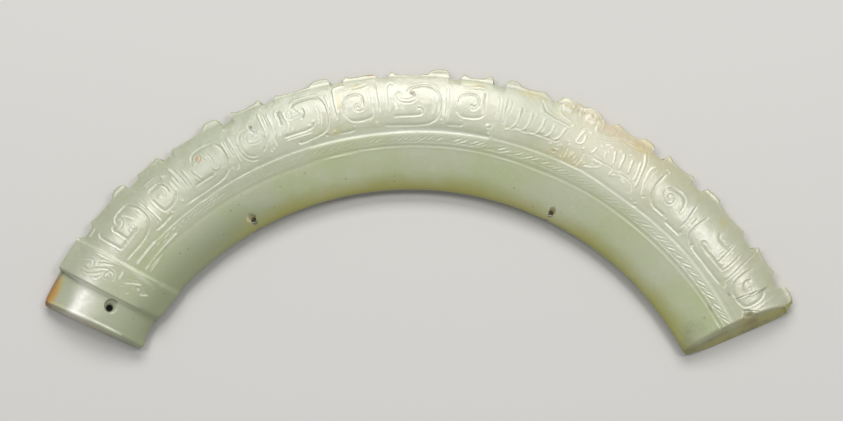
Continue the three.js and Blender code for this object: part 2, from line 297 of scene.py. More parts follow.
# %% The outline of the crest
OUTLINE = [
    (-63.0, 81.4), (-62.4, 82.3), (-62.2, 83.0), (-61.8, 83.4), (-61.0, 83.6), (-60.0, 83.65),
    (-59.0, 83.7), (-57.2, 83.85), (-56.95, 83.95), (-56.6, 84.35), (-56.2, 84.5), (-54.0, 84.65),
    (-52.0, 84.8), (-51.6, 84.6), (-51.35, 83.75), (-49.35, 84.0), (-49.2, 84.7), (-49.0, 84.9),
    (-48.0, 84.65), (-46.4, 84.7), (-45.0, 84.9), (-44.6, 85.1), (-44.4, 85.55), (-43.8, 85.85),
    (-43.2, 85.9), (-42.6, 85.75), (-42.35, 85.3), (-42.25, 84.15), (-40.4, 84.25), (-40.25, 84.8),
    (-40.05, 85.15), (-39.2, 84.9), (-38.0, 85.05), (-36.85, 85.4), (-36.45, 85.1), (-36.35, 84.1),
    (-34.6, 84.1), (-34.5, 84.7), (-34.3, 85.05), (-33.4, 84.8), (-31.4, 84.7), (-29.7, 84.95),
    (-29.3, 85.4), (-28.9, 85.9), (-28.2, 85.98), (-27.4, 85.8), (-27.05, 85.3), (-26.9, 84.05),
    (-25.2, 84.05), (-25.1, 85.1), (-24.9, 85.65), (-24.4, 85.2), (-23.2, 85.05), (-21.7, 85.3),
    (-21.2, 85.75), (-20.85, 85.5), (-20.65, 84.5), (-19.0, 84.5), (-18.8, 85.1), (-18.6, 85.55),
    (-18.1, 85.15), (-16.0, 84.95), (-13.9, 85.25), (-13.6, 85.7), (-13.2, 86.05), (-12.4, 86.15),
    (-11.4, 86.05), (-11.2, 85.7), (-11.05, 84.55), (-9.3, 84.65), (-9.15, 85.3), (-8.8, 85.8),
    (-8.3, 85.4), (-7.0, 85.4), (-5.8, 85.6), (-4.95, 85.5), (-4.7, 84.8), (-4.55, 84.65),
    (-3.0, 84.7), (-2.85, 85.4), (-2.65, 85.95), (-2.2, 85.4), (-1.6, 85.15), (0.5, 85.05),
    (2.3, 85.35), (2.6, 85.9), (3.2, 86.3), (4.1, 86.45), (4.85, 86.35), (5.0, 86.0),
    (5.1, 84.6), (6.75, 84.6), (6.9, 85.3), (7.1, 85.95), (7.8, 85.45), (8.3, 85.3),
    (10.0, 85.65), (10.5, 86.15), (10.75, 86.35), (11.0, 86.2), (11.15, 84.75), (12.95, 84.65),
    (13.05, 85.9), (13.25, 86.3), (14.0, 86.45), (14.7, 86.2), (14.95, 85.7), (16.2, 85.5),
    (17.6, 85.8), (18.25, 86.05), (18.6, 85.5), (19.2, 85.0), (19.8, 84.85), (20.25, 84.95),
    (20.45, 85.6), (20.8, 86.15), (21.5, 86.4), (22.3, 86.2), (22.9, 86.2), (23.3, 86.25),
    (23.8, 85.95), (24.2, 86.2), (24.9, 86.4), (25.6, 86.3), (26.2, 86.0), (26.7, 85.5),
    (27.2, 85.1), (27.7, 84.95), (28.3, 85.15), (28.6, 85.5), (28.85, 86.05), (29.3, 85.85),
    (30.0, 85.45), (31.2, 85.25), (32.3, 85.45), (32.6, 85.85), (32.95, 86.25), (33.6, 86.25),
    (34.4, 86.15), (34.65, 85.8), (34.8, 84.7), (36.6, 84.65), (36.75, 85.4), (36.95, 86.2),
    (37.3, 86.1), (37.8, 85.7), (39.2, 85.45), (40.4, 85.6), (41.05, 86.0), (41.35, 85.8),
    (41.55, 84.7), (43.35, 84.6), (43.5, 85.6), (43.65, 86.15), (45.2, 86.25), (45.8, 86.2),
    (46.15, 85.6), (48.4, 85.2), (50.2, 85.35), (51.0, 85.6), (51.4, 85.3), (51.65, 84.65),
    (53.6, 84.6), (53.75, 85.4), (54.0, 86.1), (54.5, 85.75), (56.0, 85.45), (57.3, 85.6),
    (57.85, 85.85), (58.15, 85.3), (58.4, 84.7), (60.1, 84.55), (60.35, 85.4), (60.6, 86.2),
    (61.2, 86.35), (62.4, 86.3), (62.8, 86.1), (63.05, 85.6), (63.3, 84.4), (64.5, 84.3),
]
INNER_EDGE = [
    (-63.0, 62.2), (-61.2, 62.5), (-60.7, 61.9), (-60.3, 61.75), (-59.4, 62.1), (-58.4, 62.45),
    (-57.0, 62.6), (-55.0, 62.6), (-54.5, 62.5), (-54.3, 62.1), (-52.0, 62.05), (-48.3, 62.1),
    (-48.0, 62.3), (-47.0, 62.4), (-45.0, 62.35), (-42.0, 62.25), (-29.9, 62.2), (-29.4, 62.42),
    (-28.9, 62.2), (0.0, 62.15), (25.3, 62.15), (25.8, 62.45), (26.3, 62.15), (40.0, 62.2),
    (61.8, 62.05), (64.0, 62.05),
]


def outline_radius(angle):
    """The outer radius of the stone at an angle."""
    return np.interp(angle, *zip(*OUTLINE))


def inner_edge_radius(angle):
    """The inner radius of the stone at an angle."""
    return np.interp(angle, *zip(*INNER_EDGE))


print("outline points:", len(OUTLINE), "span:", OUTLINE[0][0], "to", OUTLINE[-1][0])

# %% [markdown]
# The blank is laid out as a sheet of quads in plan, like a paper pattern wrapped round the section of
# the band: columns run along the arc and rows run round the section. Each point knows its share of
# the way across the band and its share of the way down from the front to the back. The columns are
# close enough to hold a cut line half a millimetre wide, and every third one carries on over the back.

# %% Columns along the arc
COLUMN_STEP = 0.19
BACK_STRIDE = 3
END_ROUND = 0.35
STATIONS = [(-61.0, -62.1), (-54.5, -56.6), (-48.0, -51.6), (62.2, 63.5)]
END_INSETS = (0.0, 0.08, 0.3)


def column_angles():
    """The inner and outer angle of each column, from the left end to the right end."""
    angles = [STATIONS[0]]
    for start, stop in zip(STATIONS[:-1], STATIONS[1:]):
        run = math.radians(stop[1] - start[1]) * ROOT_RADIUS
        count = BACK_STRIDE * round(run / COLUMN_STEP / BACK_STRIDE)
        for step in range(1, count + 1):
            share = step / count
            angles.append(tuple(a + (b - a) * share for a, b in zip(start, stop)))
    angles = np.array(angles)
    for end, inward in ((0, 1), (-1, -1)):
        for step, inset in enumerate(END_INSETS):
            column = end + inward * step
            angles[column] = angles[end] + inward * np.degrees(inset / ROOT_RADIUS)
    return angles


columns = column_angles()
column_count = len(columns)
print("columns:", column_count, "whole back steps:", (column_count - 1) % BACK_STRIDE == 0)

# %% [markdown]
# The collar and the tenon are the band itself, left standing proud or ground down, so they need no mesh
# of their own: each column has one number for how far its section swells, in millimetres. The two ends
# were sawn at a slant, so the columns near an end lean, and the last one leans the most.

# %% Each column's swell and lean
COLLAR_PROUD = 0.32
COLLAR_STEP_ANGLE = 0.2
TENON_PROUD = [
    (-62.1, -0.3), (-62.02, -0.1), (-61.85, -0.03), (-61.6, -0.1), (-61.3, -0.2), (-60.6, -0.24),
    (-59.2, -0.34), (-57.8, -0.44), (-57.3, -0.42), (-57.0, -0.3), (-56.8, -0.12), (-56.6, 0.08),
]
END_SLANTS = ((12.0, 1.0), (28.0, -1.0))
LEAN_REACH = 9.0
LEAN_CURVE = 1.5


def column_proud():
    """How far each column's section stands proud of the plain band: the tenon, the collar, its steps."""
    outer = columns[:, 1]
    lower_edge, upper_edge = STATIONS[1][1], STATIONS[2][1]
    rise = np.clip((outer - lower_edge) / COLLAR_STEP_ANGLE, 0, 1)
    fall = np.clip((upper_edge - outer) / COLLAR_STEP_ANGLE, 0, 1)
    tenon = np.interp(outer, *zip(*TENON_PROUD))
    last_of_tenon = tenon[outer < lower_edge][-1]
    return np.where(outer < lower_edge, tenon, last_of_tenon * (1 - rise) + COLLAR_PROUD * fall * rise)


def column_lean():
    """The sideways shift of each column for each millimetre of height, so that the ends slant."""
    lean = np.zeros((column_count, 2))
    inner = on_arc(columns[:, 0], np.full(column_count, INNER_RADIUS))
    outer = on_arc(columns[:, 1], root_radius(columns[:, 1]))
    for end, (slant, inward) in zip((0, -1), END_SLANTS):
        along = outer[end] - inner[end]
        along = along / np.linalg.norm(along)
        sideways = inward * np.array([along[1], -along[0]])
        run = np.abs(np.radians(columns[:, 1] - columns[end, 1])) * ROOT_RADIUS
        fade = np.clip(1 - run / LEAN_REACH, 0, 1) ** LEAN_CURVE
        lean += fade[:, None] * sideways * math.tan(math.radians(slant))
    return lean


proud = column_proud()
lean = column_lean()
print("proud, mm, from", round(proud.min(), 2), "to", round(proud.max(), 2))

# %% [markdown]
# Each row is a place in the section, with a depth from 0 on the front face to 1 on the back face. A body
# row is a share of the way across the band. A row of the thin crest is a part of the crest's reach, or so
# many millimetres in from its rim or out from the body. The rows lie close together where the
# carving is and far apart elsewhere: an even sheet that fine would be too heavy.

# %% Rows round the section
FRONT = 0.0
BACK = 1.0
PLAIN_SHARES = np.linspace(0.016, 0.35, 13)
CARVED_SHARES = np.linspace(0.366, 0.985, 75)
BODY_EDGE_SHARES = (0.993, 0.9985)
CREST_PART_SHARES = (0.05, 0.15, 0.27, 0.4, 0.54, 0.68, 0.82)
CREST_RIM = [(0.1, 0.05), (0.0, 0.2), (0.0, 0.85)]
CREST_BACK = [("rim", 0.2), ("near", 0.03)]
BACK_SHARES = (0.998, 0.985, 0.95, 0.9, 0.84, 0.76, 0.68, 0.5, 0.32, 0.24, 0.16, 0.1, 0.05, 0.016)
INNER_RIM_SHARES = [(0.005, 0.96), (0.0, 0.8), (0.0, 0.22), (0.005, 0.05)]

rows = [("body", share, FRONT, BACK_STRIDE) for share in PLAIN_SHARES]
rows += [("body", share, FRONT, 1) for share in (*CARVED_SHARES, *BODY_EDGE_SHARES)]
rows += [("part", share, FRONT, 1) for share in CREST_PART_SHARES]
rows += [("rim", inset, depth, 1) for inset, depth in CREST_RIM]
rows += [(kind, distance, BACK, BACK_STRIDE) for kind, distance in CREST_BACK]
rows += [("body", share, BACK, BACK_STRIDE) for share in BACK_SHARES]
rows += [("body", share, depth, BACK_STRIDE) for share, depth in INNER_RIM_SHARES]
print("rows:", len(rows))

# %% [markdown]
# The teeth have sides steeper than the columns could follow, so the two nearest columns move to each
# steep wall of the outline, which keeps it crisp without more columns. On the collar and the tenon the
# fine rows spread further in, because the scrolls there reach nearer to the inner edge. The columns at
# both ends are drawn in a little, so that the end faces have rounded edges.

# %% Each column's radii
STEEP_RISE = 4.0
WALL_GAP = 0.03
END_COLUMNS = 4
LEAST_CREST = 0.06
COLLAR_MARGIN = 0.1
SECOND_ROUND_SHARE = 0.25
LEAST_CARVED_SHARE = CARVED_SHARES[0]
COLLAR_CARVED_SHARE = 0.2
DRIFT_ANGLES = (-51.6, -46.8)


def steep_columns():
    """The outer angles of the columns, with the nearest ones moved to the walls of the crest's outline."""
    angles = columns[:, 1].copy()
    for (start, low), (stop, high) in zip(OUTLINE[:-1], OUTLINE[1:]):
        steep = abs(high - low) / (stop - start) > STEEP_RISE
        if steep and stop > angles[END_COLUMNS] and start < angles[-END_COLUMNS - 1]:
            first = int(np.argmin(np.abs(angles - start)))
            angles[first] = start
            angles[first + 1] = max(stop, start + WALL_GAP)
    return angles


crest_angles = steep_columns()
inner_radii = inner_edge_radius(columns[:, 0])
crest_radii = outline_radius(crest_angles)
body_radii = np.minimum(root_radius(columns[:, 1]), outline_radius(columns[:, 1]) - LEAST_CREST)
on_collar = columns[:, 1] < STATIONS[2][1] + COLLAR_MARGIN
body_radii = np.where(on_collar, outline_radius(columns[:, 1]) - LEAST_CREST, body_radii)
crest_radii = np.maximum(crest_radii, body_radii + LEAST_CREST)
first_carved_share = np.interp(columns[:, 1], DRIFT_ANGLES, (COLLAR_CARVED_SHARE, LEAST_CARVED_SHARE))
shrink = np.zeros(column_count)
shrink[[0, -1]] = END_ROUND
shrink[[1, -2]] = END_ROUND * SECOND_ROUND_SHARE
print("crest reach, mm, at most:", round((crest_radii - body_radii).max(), 2))

# %% [markdown]
# Every row now becomes a line of points in plan. A point also keeps its share, its depth, its swell, its
# lean and its column's angle as attributes of the mesh, because the geometry trees lift and carve it
# by them.

# %% The sheet of points with its attributes
CREST_SCALE = 10.0
THICKNESS = 5.0
HALF_DEPTH_SHARE = 0.5
EDGE_SHARE = 0.06
EDGE_CURVE = 1.5
NEAR_LIMIT_SHARE = 0.3
RIM_LIMIT_SHARE = 0.15
WALL_BLEND = 0.3
PAST_BODY_SHARE = 1.001


def body_row(value):
    """The plan places and the shares of a row on the body of the band."""
    root = root_radius(columns[:, 1])
    width = root - INNER_RADIUS
    inner = on_arc(columns[:, 0], np.full(column_count, INNER_RADIUS))
    outer = on_arc(columns[:, 1], root)
    plain_share = value * first_carved_share / LEAST_CARVED_SHARE
    carved_share = 1 - (1 - value) * (1 - first_carved_share) / (1 - LEAST_CARVED_SHARE)
    share = plain_share if value < LEAST_CARVED_SHARE else carved_share
    share = np.clip(share, shrink / width, 1 - shrink / width)
    near_outer = np.clip((share - 1 + EDGE_SHARE) / EDGE_SHARE, 0, 1) ** EDGE_CURVE
    near_inner = np.clip((EDGE_SHARE - share) / EDGE_SHARE, 0, 1) ** EDGE_CURVE
    shift = near_outer * (body_radii - root) + near_inner * (inner_radii - INNER_RADIUS)
    return inner + (outer - inner) * (share + shift / width)[:, None], share


def crest_row(kind, value):
    """The plan places and the shares of a row on the crest."""
    reach = crest_radii - body_radii
    if kind == "near":
        radius = body_radii + np.minimum(value, NEAR_LIMIT_SHARE * reach)
    elif kind == "part":
        radius = body_radii + value * reach
    else:
        radius = crest_radii - np.minimum(value, RIM_LIMIT_SHARE * reach)
    back_to_column = np.clip(1 - (radius - body_radii) / WALL_BLEND, 0, 1)
    angles = crest_angles + (columns[:, 1] - crest_angles) * back_to_column
    radius = np.minimum(radius, crest_radii - shrink)
    return on_arc(angles, radius), PAST_BODY_SHARE + (radius - body_radii) / CREST_SCALE


points, leans, row_ids = [], [], []
layers = {"share": [], "depth": [], "proud": [], "angle": [], "fine_row": []}
point_count = 0
for kind, value, depth, stride in rows:
    place, share = body_row(value) if kind == "body" else crest_row(kind, value)
    deep = np.clip(depth + shrink / THICKNESS * (1 if depth < HALF_DEPTH_SHARE else -1), 0, 1)
    kept = slice(None, None, stride)
    count = len(place[kept])
    points.append(np.column_stack([place[kept], np.zeros(count)]))
    leans.append(np.column_stack([lean[kept], np.zeros(count)]))
    layers["share"].append(share[kept])
    layers["depth"].append(deep[kept])
    layers["proud"].append(proud[kept] * MM)
    layers["angle"].append(columns[kept, 1])
    layers["fine_row"].append(np.full(count, float(stride == 1)))
    row_ids.append((stride, point_count + np.arange(count)))
    point_count += count
print("points in the sheet:", point_count)

# %% [markdown]
# The points become one closed skin. Between two rows lies a strip of faces, and where a fine row meets a
# coarse one each face takes in several points of the fine one, so no crack is left. One flat face closes
# each end, as the saw left it. One skin, with no pieces pushed together, is what the drills need.

# %% The faces between the rows, and the two end faces
def strip_faces(lower, upper):
    """The faces between two rows. Where one has fewer points, each face takes several of the other's."""
    (lower_stride, lower_ids), (upper_stride, upper_ids) = lower, upper
    step = max(lower_stride, upper_stride)
    faces = []
    for start in range(0, column_count - 1, step):
        below = lower_ids[start // lower_stride:(start + step) // lower_stride + 1]
        above = upper_ids[start // upper_stride:(start + step) // upper_stride + 1]
        faces.append([*below, *above[::-1]])
    return faces


faces = []
for index, lower in enumerate(row_ids):
    faces.extend(strip_faces(lower, row_ids[(index + 1) % len(row_ids)]))
faces.append([ids[0] for _, ids in row_ids])
faces.append([ids[-1] for _, ids in reversed(row_ids)])

blank_mesh = bpy.data.meshes.new("jade_pendant")
blank_mesh.from_pydata(np.concatenate(points) * MM, [], faces)
for name, parts in layers.items():
    layer = blank_mesh.attributes.new(name, "FLOAT", "POINT")
    layer.data.foreach_set("value", np.concatenate(parts).astype(np.float32))
lean_layer = blank_mesh.attributes.new("lean", "FLOAT_VECTOR", "POINT")
lean_layer.data.foreach_set("vector", np.concatenate(leans).astype(np.float32).ravel())
stone = bpy.data.objects.new("jade_pendant", blank_mesh)
bpy.context.scene.collection.objects.link(stone)
print("faces in the sheet:", len(faces))

# %% [markdown]
# The section follows a rule: from the inner rim the front swells to a crown past the middle of the
# band and falls to the outer rim, and the back has a flat land with soft rises to both rims. A
# geometry tree lifts every point of the sheet by that rule, so the thicknesses stay named inputs.

# %% The section rule
CREST_EASE = 1.4
CREST_EASE_SHARE = CREST_EASE / CREST_SCALE

section, section_in, section_out = geometry_tree("stone_section", {
    "Inner Rim Top": "Float", "Crown": "Float", "Outer Rim Top": "Float", "Crown Share": "Float",
    "Back Inner Rise": "Float", "Back Outer Rise": "Float", "Land Share": "Float",
    "Crest Top": "Float", "Crest Bottom": "Float", "Lean Level": "Float",
})
size = {socket.name: Field(section, socket) for socket in section_in.outputs}
share = Field(section, attribute(section, "share"))
depth = Field(section, attribute(section, "depth"))
swell = Field(section, attribute(section, "proud"))

inner_part = (size["Crown Share"] - share) / size["Crown Share"]
outer_part = (share - size["Crown Share"]) / size["Crown Share"].flip()
inner_height = size["Crown"] - (size["Crown"] - size["Inner Rim Top"]) * inner_part * inner_part
outer_height = size["Crown"] - (size["Crown"] - size["Outer Rim Top"]) * outer_part * outer_part
on_inner = share.less(size["Crown Share"])
front = inner_height * on_inner + outer_height * on_inner.flip()
on_crest = share.less(1.0).flip()
out_on_crest = ((share - 1.0) / CREST_EASE_SHARE).at_most(1.0).flip()
crest_height = size["Crest Top"] + (size["Outer Rim Top"] - size["Crest Top"]) * out_on_crest * out_on_crest
front = front * on_crest.flip() + crest_height * on_crest + swell

from_middle = share - 0.5
land_half = size["Land Share"] / 2.0
climb = (from_middle.reckon("ABSOLUTE") - land_half).at_least(0.0) / (land_half * -1.0 + 0.5)
inner_rise = size["Back Inner Rise"] * from_middle.less(0.0)
rise = inner_rise + size["Back Outer Rise"] * from_middle.less(0.0).flip()
back = rise * climb * climb
back = back * on_crest.flip() + size["Crest Bottom"] * on_crest
back = (back - swell * climb.at_most(1.0)).at_least(0.0)
height = front + (back - front) * depth
print("nodes for the heights:", len(section.nodes))

# %% [markdown]
# Each point goes up to its height. Near the two ends it also moves sideways with that height, which tilts
# the sawn end faces. The band's thicknesses come from the slanted right end face in the photograph.

# %% The section of this stone
CROWN_SHARE = 0.6
LAND_WIDTH = 8.0
BAND_WIDTH = ROOT_RADIUS - INNER_RADIUS
SECTION_SIZES = {
    "Inner Rim Top": 3.4, "Crown": 6.4, "Outer Rim Top": 4.0, "Back Inner Rise": 1.6,
    "Back Outer Rise": 1.2, "Crest Top": 3.6, "Crest Bottom": 1.7, "Lean Level": 1.6,
}

old_position = section.nodes.new("GeometryNodeInputPosition").outputs[0]
old_place = add_node(section, "ShaderNodeSeparateXYZ", Vector=old_position)
lean_parts = add_node(section, "ShaderNodeSeparateXYZ", Vector=attribute(section, "lean", "FLOAT_VECTOR"))
above = height - size["Lean Level"]
new_x = Field(section, old_place.outputs["X"]) + Field(section, lean_parts.outputs["X"]) * above
new_y = Field(section, old_place.outputs["Y"]) + Field(section, lean_parts.outputs["Y"]) * above
new_place = add_node(section, "ShaderNodeCombineXYZ", X=new_x, Y=new_y, Z=height)
lifted = add_node(section, "GeometryNodeSetPosition", Geometry=section_in.outputs["Geometry"],
                  Position=new_place.outputs[0])
end_in_jade(section, section_out, lifted.outputs["Geometry"])

section_values = {name: value * MM for name, value in SECTION_SIZES.items()}
section_values["Crown Share"] = CROWN_SHARE
section_values["Land Share"] = LAND_WIDTH / BAND_WIDTH
shape_with(stone, section, section_values)
print("stone, mm:", [round(value / MM, 2) for value in stone.dimensions])

# %% [markdown]
# The ornament was cut with small grinding tools: each stroke leaves a groove, a step or a thin raised
# line. So the carving is kept as strokes, each a few marks along its way, an angle and a radius in
# millimetres. A kind of cut says how deep it goes, how wide it is on its low and its high side, and how
# high a lip it leaves. The high side of a stroke is on the left of its travel. So a kind has five numbers
# in millimetres: its depth, its low and high width, and its low and high lip.

# %% Kinds of cut and the list of strokes
WALL = (0.12, 0.65, 0.17, 0.0, 0.06)
SOFT_WALL = (0.085, 0.55, 0.19, 0.0, 0.045)
LINE = (0.08, 0.2, 0.2, 0.05, 0.05)
DEEP = (0.12, 0.24, 0.24, 0.05, 0.05)
FAINT = (0.05, 0.22, 0.22, 0.02, 0.02)
RIB = (-0.09, 0.22, 0.22, 0.0, 0.0)
STRONG_RIB = (-0.15, 0.22, 0.22, 0.0, 0.0)
FAINT_RIB = (-0.04, 0.26, 0.26, 0.0, 0.0)
BEVEL = (0.085, 0.8, 0.45, 0.0, 0.03)
BROAD_BEVEL = (0.16, 1.8, 0.9, 0.0, 0.0)
BORDER_STEP = (0.09, 0.5, 0.2, 0.0, 0.08)
ROPE = (0.1, 0.2, 0.2, 0.045, 0.045)
SWELL = (-0.22, 1.8, 1.8, 0.0, 0.0)
TENON_ROUND = (0.8, 8.0, 8.0, 0.0, 0.0)
COLLAR_LINE = (0.1, 0.25, 0.25, 0.05, 0.05)
CHIP = (1.1, 1.3, 0.9, 0.0, 0.0)

strokes = []
dots = []


def cut(kind, *marks):
    """Adds one stroke of a kind through its marks."""
    strokes.append((kind, marks))


def dot(depth, radius, *places):
    """Adds small round marks: drilled when the depth is more than zero, raised when it is less."""
    for place in places:
        dots.append((depth, radius, place))


print("the deepest kind of cut, mm:", CHIP[0])

# %% [markdown]
# Two border lines run along the band between the plain inner half and the carved outer half, with
# slanted strokes between them like the lay of a rope.

# %% The rope border
cut(BORDER_STEP, (61.8, 70.8), (50, 70.75), (40, 70.7), (30, 70.8), (20, 70.75), (12, 70.95), (4, 70.95),
    (-4, 70.85), (-10, 70.65), (-20, 70.3), (-30, 70.3), (-40, 70.1), (-48.2, 70.1))
cut(BROAD_BEVEL, (12, 74.25), (5, 74.15), (0, 74.0), (-5, 73.8), (-12, 73.65), (-16, 73.55))
cut(BEVEL, (62, 73.5), (55, 73.65), (48, 73.8), (40, 73.8), (34, 73.75), (27, 74.25), (20, 74.2),
    (12, 74.2), (5, 74.1), (0, 73.95), (-5, 73.75), (-13, 73.6), (-20, 73.5), (-30, 73.15), (-40, 72.9),
    (-49, 72.75))
cut(FAINT, (61, 74.0), (52, 74.05), (43, 74.0))
cut(LINE, (-31, 71.9), (-36, 71.8), (-42, 71.7), (-46, 71.5))
cut(STRONG_RIB, (-44.5, 72.7), (-46.5, 72.5), (-49.3, 72.2))
cut(STRONG_RIB, (-41.0, 70.95), (-43.3, 70.8), (-46.0, 70.55), (-49.1, 70.25))
cut(RIB, (-46.0, 69.6), (-48.9, 69.3))
cut(FAINT, (-33, 72.5), (-38, 72.35), (-46, 72.2))
cut(FAINT, (-24, 72.9), (-30, 72.6), (-35, 72.9))
print("strokes so far:", len(strokes))

# %% [markdown]
# The rope's strokes come in groups of five, and each group has its own strength, because the rope is worn
# towards the left and crisp towards the right. A sine wave changes how steeply each stroke climbs, since
# no hand cuts them all alike.

# %% The strokes of the rope
ROPE_LAY = 2.2
ROPE_STROKES = 5
ROPE_PITCH = 0.56
ROPE_RISE = 0.95
ROPE_RISE_CHANGE = 0.2
ROPE_CHANGE_RATE = 7.0
ROPE_MIDDLE = (0.9, 0.3)
ROPE_END_RISE = 1.2
ROPE_GROUPS = [
    (-47.0, 71.1, 0.6), (-43.5, 71.2, 0.7), (-40.6, 71.2, 0.5), (-36.4, 71.1, 0.7), (-32.5, 71.1, 0.4),
    (-28.0, 71.2, 0.5), (-24.5, 71.2, 0.4), (-21.2, 71.4, 0.6), (-18.0, 71.5, 0.5), (-14.8, 71.4, 0.6),
    (-11.5, 71.5, 0.5), (-8.0, 71.5, 0.7), (-5.0, 71.6, 0.6), (-2.0, 71.6, 0.8), (1.2, 71.7, 0.9),
    (4.4, 71.8, 1.1), (7.6, 71.85, 1.2), (11.6, 71.8, 1.3), (15.0, 71.8, 1.1), (18.2, 71.8, 1.0),
    (21.0, 71.7, 0.9), (24.5, 71.7, 0.5), (28.0, 71.6, 0.5), (31.5, 71.5, 0.6), (35.0, 71.5, 0.6),
    (38.2, 71.5, 1.1), (41.4, 71.6, 1.6), (44.2, 71.55, 1.8), (47.2, 71.6, 2.0), (50.2, 71.6, 2.0),
    (53.0, 71.6, 2.0), (55.8, 71.6, 1.9), (58.6, 71.6, 1.5),
]

for start, low, strength in ROPE_GROUPS:
    for follow in range(ROPE_STROKES):
        first = start + ROPE_PITCH * follow
        rise = ROPE_RISE + ROPE_RISE_CHANGE * math.sin(ROPE_CHANGE_RATE * first)
        kind = (ROPE[0] * strength, *ROPE[1:3], ROPE[3] * strength, ROPE[4] * strength)
        middle = (first + ROPE_MIDDLE[0], low + ROPE_MIDDLE[1] * rise)
        cut(kind, (first, low), middle, (first + ROPE_LAY, low + ROPE_END_RISE * rise))
print("strokes so far:", len(strokes))

# %% [markdown]
# On the collar a long double curve ends in small spirals, with a fainter one under it. The very broad
# first stroke rounds off the outer half of the tenon beside it, so that no mesh of its own is needed.

# %% The collar's scrolls
cut(TENON_ROUND, (-62.6, 84.6), (-60.2, 84.6), (-56.6, 84.6))
cut(COLLAR_LINE, (-51.55, 80.0), (-51.35, 78.4), (-51.1, 77.0), (-50.9, 75.6), (-50.75, 74.6))
cut(COLLAR_LINE, (-53.9, 82.1), (-53.5, 81.6), (-53.1, 80.8), (-52.8, 80.0), (-52.85, 79.4),
    (-53.2, 79.1), (-53.7, 79.05))
cut(COLLAR_LINE, (-54.3, 80.5), (-54.45, 80.0), (-54.3, 79.5))
cut(DEEP, (-54.5, 79.5), (-54.1, 79.0), (-53.7, 78.5), (-53.3, 77.8), (-52.9, 77.1), (-52.6, 76.4),
    (-52.45, 75.8), (-52.45, 75.2), (-52.6, 74.6), (-53.0, 74.1))
cut(COLLAR_LINE, (-54.95, 79.8), (-54.85, 79.0), (-54.5, 78.3), (-54.1, 77.6), (-53.7, 77.0),
    (-53.3, 76.7))
cut(COLLAR_LINE, (-52.9, 78.35), (-52.4, 77.8), (-52.1, 77.2), (-51.8, 76.4), (-51.5, 75.7))
cut(COLLAR_LINE, (-53.0, 78.3), (-52.4, 78.5), (-52.0, 78.4), (-51.85, 78.1), (-51.7, 77.8))
cut(COLLAR_LINE, (-54.9, 77.5), (-54.6, 76.9), (-53.9, 76.65), (-53.3, 76.5))
cut(COLLAR_LINE, (-54.0, 75.2), (-53.9, 75.7), (-53.5, 75.95), (-52.6, 75.6), (-52.5, 74.8),
    (-52.8, 74.3), (-53.3, 74.0), (-53.8, 74.3))
cut(COLLAR_LINE, (-52.6, 73.4), (-51.9, 73.6))
cut(STRONG_RIB, (-52.9, 73.1), (-52.0, 73.2), (-51.3, 73.5))
cut(STRONG_RIB, (-52.9, 71.7), (-52.2, 70.6), (-51.7, 69.7), (-51.3, 68.9))
cut(COLLAR_LINE, (-53.4, 72.3), (-52.9, 71.5), (-52.0, 70.1))
cut(LINE, (-51.9, 72.0), (-51.0, 70.0), (-50.8, 69.4))
cut(COLLAR_LINE, (-52.8, 69.2), (-52.3, 69.5), (-51.8, 68.9), (-52.2, 68.2), (-52.8, 68.5))
cut(STRONG_RIB, (-52.9, 68.0), (-52.4, 67.2), (-52.0, 66.5))
cut(COLLAR_LINE, (-53.9, 70.6), (-53.5, 70.1), (-52.8, 70.15))
cut(LINE, (-51.2, 66.8), (-50.7, 66.3))
dot(-0.06, 0.35, (-53.85, 79.95), (-53.3, 75.15), (-52.3, 68.8), (-53.9, 70.3))
print("strokes so far:", len(strokes))

# %% [markdown]
# The fields follow from the left end to the right. Each is a sunken panel that holds a scroll, and
# between the fields run upright lines under the notches of the crest.

# %% Field one, by the collar
cut(RIB, (-50.8, 83.0), (-49.1, 83.4))
cut(WALL, (-45.0, 77.1), (-45.5, 76.85), (-46.3, 76.65), (-47.4, 76.6), (-48.9, 76.5), (-49.1, 76.8),
    (-49.2, 77.6), (-49.45, 79.0), (-49.65, 80.4), (-49.7, 81.4), (-49.45, 81.85), (-49.1, 81.7))
cut(WALL, (-47.35, 76.9), (-47.5, 78.0), (-47.65, 79.2), (-47.8, 80.1), (-47.65, 80.6), (-47.35, 80.65),
    (-47.25, 80.2))
cut(LINE, (-46.75, 80.45), (-46.5, 80.7), (-46.1, 80.75), (-45.85, 80.5), (-45.85, 80.05), (-46.3, 79.65),
    (-47.0, 79.5), (-47.5, 79.45))
cut(WALL, (-46.7, 80.5), (-46.75, 81.0), (-46.5, 81.6), (-45.9, 81.9), (-45.2, 82.0), (-44.6, 82.05),
    (-44.0, 81.85), (-43.55, 81.35), (-43.2, 80.65), (-42.95, 79.9), (-42.8, 78.8), (-42.8, 77.6),
    (-43.0, 76.6), (-43.3, 76.0), (-43.8, 75.4), (-44.5, 74.95), (-45.4, 74.6), (-46.5, 74.4),
    (-48.0, 74.35), (-49.7, 74.35))
cut(RIB, (-44.5, 78.6), (-44.7, 79.4), (-45.1, 80.4), (-45.6, 81.25))
cut(LINE, (-47.3, 77.0), (-46.4, 77.1), (-45.7, 77.3), (-45.2, 77.65), (-45.2, 78.05), (-45.5, 78.2))
cut(LINE, (-43.7, 79.8), (-43.5, 78.8), (-43.4, 78.5))
cut(LINE, (-42.3, 81.2), (-42.05, 79.0), (-42.0, 76.8), (-42.05, 75.2), (-42.35, 74.5), (-42.75, 74.4))
cut(STRONG_RIB, (-42.0, 79.0), (-41.85, 77.6), (-41.75, 76.0), (-41.7, 74.8))
cut(FAINT_RIB, (-41.5, 80.6), (-41.4, 79.0))
cut(RIB, (-40.9, 79.0), (-40.7, 77.0))
cut(SOFT_WALL, (-40.6, 81.6), (-41.0, 82.05), (-41.4, 82.45), (-42.0, 83.2))
